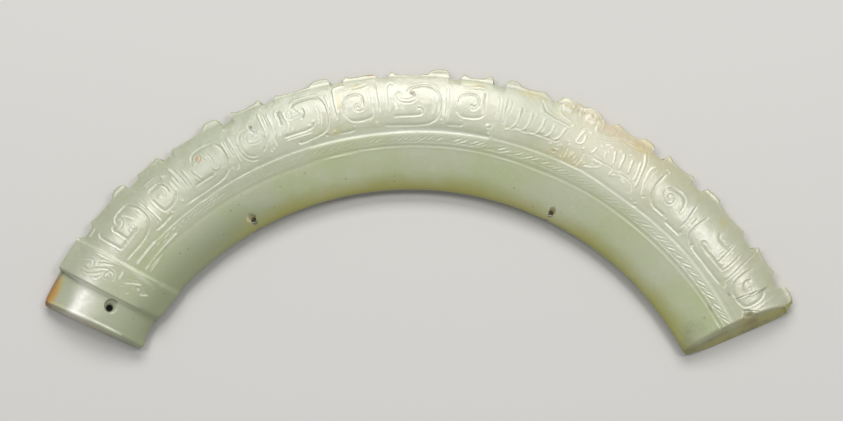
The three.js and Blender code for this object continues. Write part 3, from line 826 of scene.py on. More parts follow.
cut(WALL, (-39.7, 74.45), (-40.3, 74.3), (-41.2, 74.15), (-42.6, 74.05), (-43.2, 74.15))
cut(RIB, (-39.8, 75.1), (-39.5, 74.7), (-39.3, 74.35))
dot(-0.06, 0.42, (-46.0, 77.7), (-45.4, 77.85), (-40.2, 75.05))
print("strokes so far:", len(strokes))

# %% [markdown]
# Fields two to four are the most worn, so only what can still be made out in the photograph is drawn.
# Field two has a hooked scroll and, to its right, a comb of upright lines.

# %% Field two
cut(WALL, (-40.5, 80.8), (-39.6, 81.0), (-38.8, 80.9), (-38.3, 80.45), (-38.05, 79.8), (-37.9, 79.0),
    (-38.0, 78.2))
cut(WALL, (-37.3, 77.3), (-37.6, 76.7), (-38.1, 76.15), (-38.7, 75.8), (-39.5, 75.65), (-40.3, 75.8),
    (-40.5, 76.4), (-40.7, 77.4), (-40.8, 78.6), (-40.85, 79.5))
cut(LINE, (-39.15, 78.85), (-39.35, 78.5), (-39.0, 78.25), (-38.6, 78.45), (-38.45, 79.1), (-38.7, 79.9),
    (-39.2, 80.4), (-39.8, 80.6), (-40.3, 80.35))
cut(LINE, (-40.6, 82.2), (-39.4, 82.25), (-38.3, 82.2))
cut(RIB, (-37.6, 82.2), (-37.6, 81.0))
cut(RIB, (-37.2, 79.8), (-37.05, 77.4))
cut(RIB, (-36.6, 80.6), (-36.35, 77.4))
cut(RIB, (-36.3, 82.4), (-36.05, 80.4), (-35.85, 78.4))
cut(LINE, (-35.85, 82.0), (-35.6, 80.4), (-35.4, 78.4), (-35.4, 77.0))
cut(RIB, (-34.75, 80.4), (-34.55, 78.2), (-34.55, 76.8), (-34.75, 76.0))
dot(-0.06, 0.4, (-39.65, 78.7), (-37.2, 75.2), (-37.3, 81.5))
print("strokes so far:", len(strokes))

# %% [markdown]
# Field three holds a wide scroll that opens towards the collar, with the fine lines of smaller ones in it.
# Its steps are cut softer and shallower, as they are on the stone.

# %% Field three
cut(SOFT_WALL, (-33.0, 80.8), (-32.6, 81.5), (-31.9, 81.9), (-30.9, 82.0), (-29.9, 81.9), (-29.2, 81.7),
    (-28.6, 81.0), (-28.3, 80.0), (-28.15, 78.6), (-28.3, 77.2), (-28.6, 76.0), (-28.75, 75.4),
    (-29.3, 74.9), (-30.2, 74.4), (-31.5, 74.15), (-34.0, 74.05), (-37.0, 74.2))
cut(RIB, (-28.1, 81.2), (-27.9, 79.8), (-27.85, 78.4), (-27.9, 77.2))
cut(LINE, (-32.4, 80.0), (-32.35, 80.7), (-31.95, 80.95), (-31.55, 80.6), (-31.7, 80.05), (-32.3, 79.85))
cut(RIB, (-31.1, 80.4), (-30.85, 79.3))
cut(RIB, (-33.6, 79.2), (-33.25, 78.0), (-33.05, 77.1), (-32.85, 76.85), (-32.65, 77.2))
cut(RIB, (-33.65, 77.6), (-33.45, 76.7), (-33.1, 76.2))
cut(SOFT_WALL, (-31.0, 76.05), (-32.0, 76.05), (-33.0, 76.05), (-34.3, 76.05))
cut(RIB, (-30.75, 77.8), (-30.65, 77.1), (-30.3, 76.75), (-29.9, 76.9), (-29.7, 77.4), (-29.75, 78.0))
cut(LINE, (-30.3, 77.7), (-30.25, 78.6), (-30.3, 79.6), (-30.6, 80.6))
cut(RIB, (-28.15, 74.7), (-27.95, 75.6))
cut(RIB, (-27.9, 74.4), (-27.3, 74.65), (-27.1, 75.5))
cut(RIB, (-26.95, 81.4), (-26.85, 80.0), (-26.7, 78.4), (-26.6, 76.6), (-26.6, 75.4))
cut(LINE, (-27.4, 81.0), (-27.35, 79.0), (-27.2, 77.0))
dot(-0.06, 0.4, (-32.85, 79.8), (-31.0, 75.9), (-27.0, 83.0))
print("strokes so far:", len(strokes))

# %% [markdown]
# In field four two soft steps run side by side round a small open scroll, and a drilled dot lies above it.

# %% Field four
cut(SOFT_WALL, (-24.0, 74.65), (-24.6, 74.7), (-25.0, 74.9), (-25.5, 75.45), (-25.9, 76.3), (-26.1, 77.4),
    (-26.2, 78.6), (-26.15, 79.5))
cut(SOFT_WALL, (-23.9, 75.3), (-24.4, 75.4), (-24.9, 75.75), (-25.35, 76.3), (-25.6, 77.2),
    (-25.75, 78.2), (-25.65, 79.7), (-25.4, 80.4), (-25.0, 80.9), (-24.4, 81.1), (-23.8, 81.0),
    (-23.3, 80.5), (-23.0, 79.8))
cut(SOFT_WALL, (-21.95, 79.0), (-21.9, 77.8), (-22.05, 76.8), (-22.4, 76.1), (-22.8, 75.75))
cut(LINE, (-24.4, 78.3), (-23.9, 77.95), (-23.3, 77.8), (-22.7, 77.9))
cut(LINE, (-24.5, 78.4), (-24.5, 79.4), (-24.1, 80.1), (-23.7, 79.7))
cut(RIB, (-21.7, 83.2), (-21.65, 81.0), (-21.45, 79.0), (-21.4, 78.0))
cut(RIB, (-20.6, 82.6), (-20.45, 81.0), (-20.3, 79.0), (-20.3, 77.6))
cut(LINE, (-21.1, 82.6), (-21.0, 80.6), (-20.9, 78.6))
cut(RIB, (-20.75, 78.2), (-20.7, 76.6), (-20.75, 75.2))
dot(-0.07, 0.42, (-23.15, 79.1), (-22.45, 79.7), (-24.2, 78.55), (-21.2, 75.35), (-21.65, 75.0))
dot(0.22, 0.4, (-23.4, 81.2))
print("strokes so far:", len(strokes))

# %% [markdown]
# From field five to the top of the arc the carving is crisp again. Each scroll starts as a hook, and its
# outer edge is a wall: a step that drops steeply on one side and runs out on the other.

# %% Field five
cut(WALL, (-19.2, 79.2), (-19.2, 80.4), (-19.3, 81.8), (-19.0, 82.2), (-18.6, 82.1))
cut(RIB, (-18.4, 81.9), (-18.3, 80.8), (-18.1, 79.6), (-18.0, 78.0))
cut(RIB, (-19.5, 78.2), (-19.5, 76.8))
cut(RIB, (-17.65, 78.4), (-17.5, 77.3))
cut(WALL, (-14.5, 78.0), (-14.45, 77.5), (-14.8, 77.05), (-15.5, 76.8), (-16.5, 76.7), (-19.2, 76.7))
cut(RIB, (-14.9, 76.0), (-16.5, 75.95), (-19.0, 75.95))
cut(WALL, (-16.9, 81.85), (-17.05, 82.2), (-16.75, 82.7), (-16.2, 83.0), (-15.0, 83.1), (-13.9, 83.15),
    (-13.2, 82.85), (-12.8, 82.2), (-12.5, 81.45), (-12.3, 80.5), (-12.2, 79.2), (-12.2, 78.0),
    (-12.4, 76.8), (-12.8, 75.9), (-13.3, 75.45), (-14.0, 75.15), (-15.0, 74.9), (-16.3, 74.65),
    (-17.2, 74.5))
cut(LINE, (-17.4, 80.5), (-17.3, 81.1), (-17.45, 81.6), (-17.75, 81.7), (-18.05, 81.3), (-18.1, 80.7),
    (-17.9, 80.15), (-17.4, 79.95), (-16.8, 80.05), (-16.3, 80.05), (-15.9, 80.35), (-15.75, 80.85),
    (-15.95, 81.3), (-16.2, 81.45))
cut(LINE, (-16.8, 81.9), (-16.6, 81.3), (-16.3, 80.9))
cut(WALL, (-15.6, 81.55), (-15.4, 80.7), (-15.5, 80.0), (-15.9, 79.6))
cut(LINE, (-13.6, 81.0), (-13.3, 79.6), (-13.3, 78.2), (-13.6, 77.0))
dot(-0.07, 0.42, (-14.4, 78.3), (-15.05, 77.6), (-16.05, 81.0), (-12.05, 75.0), (-11.6, 75.3))
dot(0.16, 0.4, (-15.85, 79.6), (-17.1, 74.9), (-12.9, 74.9))
cut(STRONG_RIB, (-12.1, 82.8), (-11.85, 81.4), (-11.75, 80.0))
cut(DEEP, (-11.2, 84.0), (-11.1, 82.4), (-11.1, 80.6), (-11.0, 79.2), (-11.0, 77.6))
cut(RIB, (-10.8, 83.6), (-10.8, 79.2), (-10.3, 79.1))
cut(WALL, (-8.5, 75.05), (-8.8, 74.75), (-9.3, 74.6), (-11.0, 74.6))
print("strokes so far:", len(strokes))

# %% [markdown]
# Field six is one tight scroll round a deep curl, between the long upright lines of its neighbours.

# %% Field six
cut(RIB, (-10.85, 83.0), (-10.7, 83.65), (-10.0, 83.9), (-9.3, 83.95))
cut(DEEP, (-8.3, 83.15), (-7.6, 83.15), (-6.9, 83.3), (-6.2, 83.6))
cut(WALL, (-5.55, 77.5), (-6.0, 76.85), (-6.8, 76.5), (-7.6, 76.45), (-8.4, 76.5), (-9.0, 76.8),
    (-9.4, 77.4), (-9.75, 78.3), (-9.9, 79.4), (-9.8, 80.4), (-9.5, 81.2), (-9.0, 81.8), (-8.2, 82.05),
    (-7.4, 81.9), (-6.95, 81.45), (-6.8, 80.7), (-6.75, 79.8))
cut(LINE, (-9.4, 79.8), (-9.3, 80.6), (-8.9, 81.1))
cut(DEEP, (-7.25, 81.3), (-7.0, 80.6), (-6.95, 79.8), (-6.75, 79.25), (-7.0, 78.7), (-7.5, 78.45),
    (-8.0, 78.65), (-8.2, 79.25), (-8.0, 79.8), (-7.6, 80.0))
dot(0.16, 0.36, (-7.65, 79.35))
cut(LINE, (-6.05, 83.0), (-5.9, 81.2), (-5.8, 79.6), (-5.65, 78.2), (-5.75, 77.2), (-6.2, 76.4),
    (-6.9, 76.15))
cut(DEEP, (-5.1, 84.2), (-4.95, 82.6), (-4.85, 80.8), (-4.7, 79.2), (-4.6, 78.0))
cut(FAINT, (-4.45, 81.6), (-4.35, 80.4), (-4.45, 79.4))
dot(-0.06, 0.4, (-8.55, 75.55), (-5.1, 75.8), (-4.9, 75.1))
print("strokes so far:", len(strokes))

# %% [markdown]
# At the top of the arc lies a wide scroll. Three small drilled dots mark where it begins, and a deep curl
# and a low hook lie inside it.

# %% Field seven, at the top of the arc
cut(WALL, (-0.55, 81.5), (-0.6, 81.9), (-0.35, 82.35), (0.1, 82.65), (0.8, 82.95), (1.7, 83.15),
    (2.4, 83.1), (3.1, 82.75), (3.6, 82.25), (4.0, 81.55), (4.25, 80.7), (4.35, 79.6), (4.3, 78.4),
    (4.15, 77.4), (3.7, 76.2), (3.2, 75.7), (2.6, 75.3), (1.5, 75.05), (0.0, 74.9), (-2.0, 74.95),
    (-4.1, 75.05))
dot(0.2, 0.4, (-0.05, 81.65), (0.2, 81.45), (0.42, 81.05))
cut(LINE, (0.42, 81.05), (0.2, 80.6), (-0.3, 80.3))
cut(DEEP, (-1.35, 80.9), (-1.5, 81.5), (-1.85, 81.65), (-2.15, 81.2), (-2.15, 80.6), (-1.95, 80.1),
    (-1.5, 79.65), (-0.9, 79.5), (-0.1, 79.5), (0.5, 79.9), (0.9, 80.6), (0.9, 81.4), (0.7, 81.9))
cut(LINE, (-1.7, 80.9), (-1.6, 80.5), (-1.1, 80.2), (-0.4, 80.15), (0.25, 80.45), (0.55, 80.9))
cut(LINE, (-1.75, 79.6), (-1.3, 78.8), (-1.1, 77.8))
cut(STRONG_RIB, (-2.4, 79.6), (-2.15, 78.8), (-2.0, 78.0))
cut(WALL, (0.75, 78.1), (0.95, 78.45), (1.3, 78.55), (1.75, 78.2), (1.85, 77.7), (1.6, 77.2),
    (1.1, 76.95), (0.0, 76.85), (-1.5, 76.75), (-2.6, 76.7))
cut(LINE, (3.0, 81.4), (3.3, 79.8), (3.3, 78.4), (2.9, 77.2))
dot(-0.06, 0.42, (1.2, 78.2))
cut(DEEP, (-2.55, 83.05), (-2.75, 83.45), (-3.1, 83.35), (-3.4, 82.6), (-3.4, 81.0), (-3.3, 79.6),
    (-3.2, 78.0))
cut(FAINT, (-2.9, 80.6), (-2.9, 78.4))
cut(RIB, (4.7, 81.0), (4.7, 76.8))
dot(-0.06, 0.4, (4.55, 76.3), (4.75, 75.5), (7.5, 76.5))
cut(LINE, (5.0, 83.2), (5.05, 81.6), (5.1, 80.0), (5.05, 78.0), (5.05, 76.4))
cut(LINE, (5.4, 83.2), (5.5, 82.0), (5.6, 80.4), (5.6, 78.8), (5.4, 77.2), (5.3, 76.4))
cut(WALL, (7.75, 76.1), (7.75, 75.7), (7.4, 75.45), (6.5, 75.4), (5.4, 75.3))
print("strokes so far:", len(strokes))

# %% [markdown]
# Field eight lies between the top of the arc and the mask. A hooked scroll opens round two small drilled
# dots, and long upright lines part it from the mask.

# %% Field eight
cut(WALL, (6.7, 79.8), (6.75, 80.7), (7.0, 81.4), (7.5, 81.9), (8.2, 82.2), (9.0, 82.15), (9.5, 81.75),
    (9.8, 81.0), (9.85, 80.1), (9.55, 79.35), (9.1, 79.0), (8.65, 79.05), (8.4, 79.4))
cut(LINE, (6.35, 79.2), (6.45, 80.4), (6.8, 81.5), (7.2, 81.95))
cut(LINE, (8.45, 79.65), (8.75, 80.05), (9.05, 80.55), (9.0, 81.0))
dot(0.18, 0.38, (8.65, 79.8), (9.0, 79.7))
cut(LINE, (8.4, 83.25), (9.3, 83.45), (10.2, 83.45))
cut(WALL, (10.4, 83.0), (10.6, 82.2), (10.65, 80.8), (10.7, 79.4), (10.75, 78.6), (10.5, 78.0),
    (10.0, 77.55), (9.3, 77.3), (8.5, 77.2), (7.6, 77.3), (7.0, 77.7), (6.85, 78.4))
cut(LINE, (12.0, 82.4), (12.35, 82.7), (12.6, 82.1), (12.7, 80.6), (12.6, 79.2), (12.45, 77.8))
cut(LINE, (12.2, 77.4), (12.1, 76.2), (11.8, 75.45))
dot(-0.16, 0.45, (11.5, 76.45))
dot(0.16, 0.36, (11.7, 76.1))
dot(-0.1, 0.4, (11.8, 74.8), (12.5, 74.3))
cut(FAINT, (13.2, 81.6), (13.2, 79.2))
cut(DEEP, (13.75, 82.6), (13.7, 81.0), (13.65, 79.6), (13.75, 78.2), (13.8, 77.0))
cut(LINE, (14.45, 82.2), (14.35, 80.8), (14.3, 79.6))
print("strokes so far:", len(strokes))

# %% [markdown]
# Towards the right the animal mask sits across the band with its nose at the crest. Its mane is a comb
# of long raised lines on both sides, with scooped panels between them.

# %% The mask's left side
LEFT_SHADOW_ANGLE = 0.42
SHADOW_MARKS = 4

for marks in (
    ((15.65, 81.5), (15.65, 80.4), (15.6, 79.2), (15.45, 78.2), (15.25, 77.6), (14.9, 77.0), (14.4, 76.65),
     (14.0, 76.45)),
    ((17.35, 81.2), (17.35, 80.2), (17.3, 79.2), (17.15, 78.4), (17.0, 77.8), (16.7, 77.3), (16.2, 77.1),
     (15.3, 77.05)),
    ((19.3, 80.9), (19.25, 80.0), (19.2, 79.2), (19.05, 78.3), (18.85, 77.7), (18.5, 77.2), (18.0, 77.1),
     (17.3, 77.25)),
    ((20.95, 80.4), (20.85, 79.6), (20.8, 78.8), (20.6, 78.1), (20.2, 77.55), (19.8, 77.4)),
    ((22.7, 80.8), (22.45, 80.0), (22.3, 79.2), (22.2, 78.6), (22.0, 78.05), (21.6, 77.6), (21.1, 77.4)),
):
    cut(STRONG_RIB, *marks)
    cut(FAINT, *[(angle + LEFT_SHADOW_ANGLE, radius) for angle, radius in marks[:SHADOW_MARKS]])
for marks in (
    ((15.95, 78.1), (15.85, 77.6)),
    ((16.1, 81.4), (16.6, 81.3)),
    ((19.65, 79.2), (19.6, 78.4), (19.4, 77.75)),
    ((21.35, 79.7), (21.3, 79.0), (21.15, 78.2)),
    ((18.25, 82.7), (18.6, 82.2), (19.0, 81.75)),
    ((18.4, 84.6), (18.4, 83.9)),
    ((22.8, 76.3), (22.5, 75.9), (21.7, 75.85)),
):
    cut(RIB, *marks)
cut(SOFT_WALL, (22.3, 77.9), (22.1, 77.45), (21.5, 77.25), (20.5, 77.25), (19.3, 77.3), (18.3, 77.2),
    (17.2, 77.05), (16.0, 77.05), (15.0, 76.9), (14.2, 76.6))
cut(DEEP, (18.4, 83.8), (18.95, 82.7), (19.8, 82.05), (20.9, 81.75), (22.1, 81.5), (23.25, 81.25))
cut(RIB, (18.5, 82.2), (19.45, 81.65), (20.8, 81.25), (22.2, 81.1), (23.2, 80.95))
cut(LINE, (21.6, 74.7), (22.3, 74.7), (22.6, 75.0))
dot(-0.06, 0.42, (18.1, 80.9), (21.25, 76.55), (22.4, 76.65), (22.7, 77.05))
dot(0.12, 0.42, (22.1, 75.4))
print("strokes so far:", len(strokes))

# %% [markdown]
# The nose is two swellings with a deep curl in each and a parting between them. Below it hangs a teardrop
# over a bundle of short upright hairs. The swellings are broad strokes of less than no depth, so the
# same tree raises them.

# %% The nose, the teardrop and the whiskers
cut(SWELL, (20.9, 84.9), (21.8, 85.2), (22.8, 84.9))
cut(SWELL, (24.4, 84.9), (25.4, 85.0), (26.3, 84.4))
cut(DEEP, (21.35, 84.8), (21.7, 85.15), (22.1, 85.2), (22.4, 84.95), (22.1, 84.7))
cut(DEEP, (23.2, 86.1), (23.35, 85.3), (23.2, 84.4))
cut(RIB, (20.95, 83.5), (20.85, 84.3), (21.1, 85.1), (21.7, 85.7), (22.4, 85.65), (22.85, 85.2),
    (22.75, 84.6), (22.3, 84.3), (21.7, 84.3))
cut(RIB, (20.9, 83.3), (21.5, 82.7), (22.4, 82.3), (23.2, 82.2))
cut(DEEP, (24.15, 84.6), (24.3, 85.25), (24.8, 85.55), (25.35, 85.35), (25.6, 84.85), (25.45, 84.35),
    (24.9, 84.1))
cut(RIB, (24.0, 85.5), (24.6, 86.0), (25.4, 85.9), (26.0, 85.4), (26.3, 84.8), (26.5, 84.0))
cut(RIB, (23.7, 85.4), (23.65, 84.5), (23.9, 83.8))
cut(LINE, (26.6, 85.2), (26.95, 84.4), (27.0, 83.2))
cut(RIB, (26.4, 83.9), (26.5, 83.1), (26.75, 82.3))
cut(FAINT, (25.8, 82.9), (25.05, 82.4), (24.5, 81.4))
dot(-0.22, 0.5, (24.9, 84.85))
dot(-0.07, 0.4, (26.05, 81.75), (23.35, 81.6), (23.55, 78.4), (25.75, 74.8), (23.45, 74.8), (27.05, 75.6))
cut(STRONG_RIB, (25.25, 81.85), (24.9, 80.75), (24.75, 79.7), (24.65, 78.95), (25.05, 78.75),
    (25.55, 79.2), (25.65, 80.1), (25.5, 81.0))
cut(STRONG_RIB, (26.1, 78.6), (25.9, 78.05))
cut(RIB, (23.9, 78.2), (23.8, 77.6))
cut(DEEP, (23.75, 77.2), (23.8, 76.0), (23.7, 74.8), (23.9, 74.3))
cut(RIB, (24.6, 76.8), (24.65, 75.0))
cut(RIB, (25.0, 76.95), (24.8, 75.6))
cut(LINE, (25.2, 76.4), (25.2, 75.6))
cut(RIB, (25.4, 76.4), (25.4, 75.2))
cut(DEEP, (26.25, 77.6), (26.3, 76.4), (26.1, 75.0), (25.9, 74.4))
cut(RIB, (26.55, 76.2), (26.55, 75.3))
cut(LINE, (23.6, 74.2), (25.2, 74.15), (26.9, 74.2))
cut(DEEP, (27.4, 75.7), (27.0, 75.1))
cut(STRONG_RIB, (28.55, 75.8), (28.1, 75.5), (27.3, 75.15))
cut(RIB, (28.8, 77.05), (28.2, 76.85))
cut(RIB, (28.4, 76.3), (27.9, 76.1))
print("strokes so far:", len(strokes))

# %% [markdown]
# The right side answers the left with a second comb of raised lines. A faint line beside each one stands
# for the thin shadow that the photograph shows there.

# %% The mask's right side
RIGHT_SHADOW_ANGLE = 0.4
LONG_MARKS = 4

cut(LINE, (26.5, 81.7), (27.5, 81.7), (28.75, 82.05), (29.8, 82.9), (30.9, 83.4))
cut(FAINT_RIB, (26.65, 82.4), (27.6, 82.4), (28.8, 82.8), (29.8, 83.6), (31.0, 84.1), (32.4, 84.2),
    (33.6, 84.4))
cut(FAINT, (28.9, 83.2), (29.3, 84.2), (29.2, 85.2))
cut(LINE, (30.4, 83.6), (31.4, 83.3), (32.6, 83.4), (33.6, 83.7))
cut(STRONG_RIB, (27.7, 79.8), (27.6, 79.0), (27.45, 78.45), (27.1, 78.1))
for marks in (
    ((28.6, 80.8), (28.9, 81.2), (29.4, 81.5)),
    ((29.1, 80.0), (29.2, 79.0), (29.4, 78.25)),
    ((29.4, 80.4), (29.6, 79.7)),
    ((30.3, 80.9), (30.5, 80.0), (30.7, 79.2), (30.85, 78.2)),
    ((31.55, 81.3), (31.8, 80.4), (31.85, 79.4), (31.95, 78.4), (32.1, 78.1)),
    ((33.05, 81.3), (33.15, 80.2), (33.3, 79.2), (33.45, 78.25)),
    ((34.15, 81.9), (34.3, 80.8), (34.5, 79.6), (34.65, 78.4), (34.6, 77.6)),
    ((34.0, 83.8), (34.4, 82.8), (34.75, 81.6), (34.95, 80.4), (35.15, 79.0), (35.35, 78.0), (35.4, 76.8)),
):
    cut(STRONG_RIB if len(marks) >= LONG_MARKS else RIB, *marks)
    cut(FAINT, *[(angle + RIGHT_SHADOW_ANGLE, radius) for angle, radius in marks])
cut(RIB, (32.25, 81.6), (32.6, 82.05))
cut(LINE, (31.3, 77.5), (30.6, 77.6), (29.6, 77.55), (28.6, 77.55), (27.7, 77.7))
cut(LINE, (31.5, 76.7), (32.45, 77.3), (33.7, 77.35), (35.0, 76.85), (35.8, 75.5))
cut(RIB, (27.8, 76.65), (28.1, 77.15), (28.8, 77.2), (29.3, 77.1), (29.35, 76.5), (28.5, 75.7))
cut(STRONG_RIB, (31.25, 77.2), (31.25, 75.8))
cut(RIB, (35.3, 76.2), (35.6, 75.3))
cut(RIB, (35.05, 75.5), (35.4, 74.7))
cut(RIB, (35.9, 74.6), (36.2, 74.2))
dot(-0.07, 0.42, (28.25, 80.4), (29.7, 81.25), (31.05, 81.4), (32.3, 77.4), (31.7, 76.4), (33.2, 76.6),
    (33.6, 76.3))
cut(STRONG_RIB, (36.3, 82.8), (35.95, 82.0), (35.9, 80.8), (36.0, 79.6), (36.15, 78.4), (36.5, 77.6),
    (36.6, 77.0))
cut(LINE, (36.7, 82.4), (36.45, 81.6), (36.4, 80.6), (36.5, 79.4), (36.7, 78.4))
cut(RIB, (36.6, 77.4), (36.7, 76.8), (37.0, 76.35), (37.3, 76.6))
dot(0.16, 0.36, (37.25, 76.4), (36.7, 74.5), (37.1, 73.9))
print("strokes so far:", len(strokes))

# %% [markdown]
# Past the mask three more fields follow. The scrolls of fields nine and ten open the other way, towards
# the right end, and the spiral in field nine is the tightest of all.

# %% Field nine
cut(WALL, (41.6, 75.95), (40.6, 75.9), (39.6, 75.95), (38.9, 76.35), (38.4, 76.95), (38.0, 77.8),
    (37.8, 78.8), (37.7, 80.0), (37.75, 81.4), (37.85, 82.8))
cut(WALL, (39.3, 80.9), (39.8, 81.4), (40.5, 81.65), (41.3, 81.75), (42.0, 81.6), (42.5, 81.15),
    (42.8, 80.4), (42.95, 79.4), (42.95, 78.4))
cut(DEEP, (39.35, 80.3), (39.3, 79.8), (39.5, 79.2), (39.8, 78.7), (40.3, 78.4), (40.9, 78.35),
    (41.25, 78.9), (41.25, 79.6), (40.95, 80.2), (40.5, 80.4), (40.15, 80.1), (40.15, 79.5),
    (40.45, 79.15), (40.8, 79.35), (40.65, 79.85))
cut(FAINT, (42.3, 80.0), (42.5, 79.0), (42.4, 77.8))
cut(RIB, (38.9, 80.0), (39.1, 79.4))
dot(-0.06, 0.4, (37.85, 83.6), (45.3, 78.0), (42.0, 75.65))
dot(0.14, 0.36, (38.1, 83.25), (45.0, 75.75))
cut(DEEP, (44.1, 82.2), (44.25, 80.6), (44.45, 79.2), (44.5, 77.8), (44.4, 76.2))
cut(RIB, (43.75, 81.8), (43.9, 80.4), (44.0, 78.8), (44.0, 77.2))
cut(LINE, (44.6, 75.6), (44.8, 75.25), (45.2, 75.3), (45.25, 75.7))
cut(DEEP, (45.45, 80.4), (45.4, 79.2), (45.5, 78.4))
cut(WALL, (45.1, 75.25), (44.0, 75.2), (42.9, 75.2), (42.1, 75.25))
print("strokes so far:", len(strokes))

# %% [markdown]
# Field ten has a low scroll along the border and a small hooked line near the crest, with three deep
# upright lines to its right.

# %% Field ten
cut(WALL, (54.9, 75.2), (54.2, 75.1), (52.5, 75.05), (50.5, 75.1), (48.8, 75.2), (47.6, 75.45),
    (46.8, 75.95), (46.2, 76.7), (46.0, 77.6), (45.95, 78.8), (46.05, 80.0), (46.15, 81.2), (46.3, 82.1))
cut(LINE, (46.9, 76.5), (47.5, 76.05), (48.5, 75.95))
dot(0.16, 0.36, (47.6, 75.75))
cut(WALL, (49.55, 81.8), (49.35, 81.4), (49.55, 81.05), (50.1, 80.85), (50.8, 80.85), (51.3, 81.15),
    (51.4, 81.8))
cut(DEEP, (51.7, 82.2), (51.8, 81.2), (51.9, 80.0), (52.05, 78.4), (52.0, 77.2))
cut(LINE, (51.45, 80.0), (51.45, 78.8))
cut(DEEP, (53.1, 82.4), (53.35, 81.0), (53.5, 79.4), (53.5, 78.0), (53.45, 77.1))
dot(-0.06, 0.4, (52.6, 78.0), (52.4, 81.2), (50.4, 81.3))
cut(WALL, (53.4, 77.1), (52.0, 77.0), (50.5, 76.95), (49.2, 77.0), (48.5, 77.3), (48.25, 77.8),
    (48.5, 78.25), (48.9, 78.2))
cut(LINE, (50.2, 77.3), (50.8, 77.4), (51.4, 77.3))
cut(DEEP, (54.15, 85.4), (54.3, 83.6), (54.5, 81.6), (54.7, 79.6), (54.85, 78.0), (54.9, 76.2))
cut(RIB, (55.2, 76.05), (55.6, 75.95), (55.75, 75.55), (55.5, 75.15))
print("strokes so far:", len(strokes))

# %% [markdown]
# The last field ends near the sawn face. The upright lines beyond it are worn faint, and two short broad
# strokes take away the small chip at the front edge of that face.

# %% Field eleven, by the right end
cut(WALL, (59.3, 81.85), (59.7, 81.5), (60.0, 80.7), (60.15, 79.6), (60.15, 78.4), (60.0, 77.4),
    (59.6, 76.75), (58.9, 76.4), (58.2, 76.25), (57.3, 76.3), (56.6, 76.7), (56.1, 77.4), (55.8, 78.4),
    (55.65, 79.6), (55.6, 81.0), (55.65, 82.4))
cut(WALL, (58.3, 78.5), (57.6, 78.6), (57.1, 78.85), (56.75, 79.4), (56.65, 80.1), (56.85, 80.8),
    (57.0, 81.05))
cut(LINE, (58.35, 79.5), (57.9, 79.5), (57.7, 79.9), (57.95, 80.25), (58.3, 80.1))
cut(LINE, (59.5, 83.6), (59.5, 82.8), (59.1, 82.0), (58.9, 81.4), (58.75, 80.4), (58.7, 79.6),
    (58.45, 78.6), (58.3, 77.4), (58.15, 76.6), (58.05, 76.0))
cut(FAINT_RIB, (60.6, 83.6), (60.7, 81.6), (60.85, 80.0), (60.95, 78.8), (60.8, 78.0), (60.4, 77.5))
cut(FAINT_RIB, (61.9, 83.6), (61.6, 81.6), (61.4, 80.0), (61.35, 79.0))
cut(RIB, (60.2, 76.4), (60.7, 75.7), (61.5, 74.8), (62.0, 74.4))
cut(CHIP, (60.8, 77.0), (62.4, 76.4), (64.2, 75.8))
cut(CHIP, (60.8, 77.0), (62.4, 77.5), (64.2, 78.1))
cut(DEEP, (60.1, 76.1), (60.6, 77.4), (61.3, 78.9), (62.0, 79.6))
print("strokes:", len(strokes), "dots:", len(dots))

# %% [markdown]
# A carver's stroke is a smooth sweep, but it is written down as a few marks. So a smooth line goes
# through the marks, with a point every 0.12 mm. Each point keeps the way it travels and how far the
# stroke has faded, because the tool came down and lifted off gently.

# %% A smooth line through a stroke's marks
MARK_SPACING = 0.12
SMOOTH_STEPS = 14
FADE_RUN = 0.45
FADE_RUN_SHARE = 0.4
LEAST_FADE_SHARE = 0.15
CARVED_MIDDLE = 78.0
DEGREE_RUN = math.radians(1) * CARVED_MIDDLE


def smooth_way(marks):
    """Evenly spaced plan points, tangents and fades along a smooth line through a stroke's marks."""
    way = np.array(marks) * (DEGREE_RUN, 1.0)
    padded = np.vstack([2 * way[0] - way[1], way, 2 * way[-1] - way[-2]])
    run = np.linspace(0, 1, SMOOTH_STEPS, endpoint=False)[:, None]
    parts = []
    for before, start, stop, after in zip(padded, padded[1:], padded[2:], padded[3:]):
        straight = 2 * start + (stop - before) * run
        bend = (2 * before - 5 * start + 4 * stop - after) * run ** 2
        twist = (3 * start - before - 3 * stop + after) * run ** 3
        parts.append((straight + bend + twist) / 2)
    curve = np.vstack([*parts, way[-1:]]) / (DEGREE_RUN, 1.0)
    curve = on_arc(curve[:, 0], curve[:, 1])
    travelled = np.concatenate([[0], np.cumsum(np.linalg.norm(np.diff(curve, axis=0), axis=1))])
    length = travelled[-1]
    stops = np.linspace(0, length, max(3, round(length / MARK_SPACING) + 1))
    way = np.column_stack([np.interp(stops, travelled, curve[:, axis]) for axis in (0, 1)])
    tangent = np.gradient(way, axis=0)
    tangent = tangent / np.linalg.norm(tangent, axis=1)[:, None]
    fade_run = min(FADE_RUN, FADE_RUN_SHARE * length)
    fade = np.clip(np.minimum(stops, length - stops) / fade_run, 0, 1)
    return way, tangent, LEAST_FADE_SHARE + (1 - LEAST_FADE_SHARE) * fade * fade * (3 - 2 * fade)


print("points on the first stroke:", len(smooth_way(strokes[0][1])[0]))

# %% [markdown]
# The strokes become one guide mesh of loose points, because a geometry tree can only read numbers that
# sit on geometry. Each point carries its stroke's number, the way it travels, its cut, its lips, its
# fade and the span of angles that the stroke may reach. The dots share one last number.

# %% The stroke guide
SPAN_MARGIN = 4.0
WHOLE_SPAN = (-90.0, 90.0)

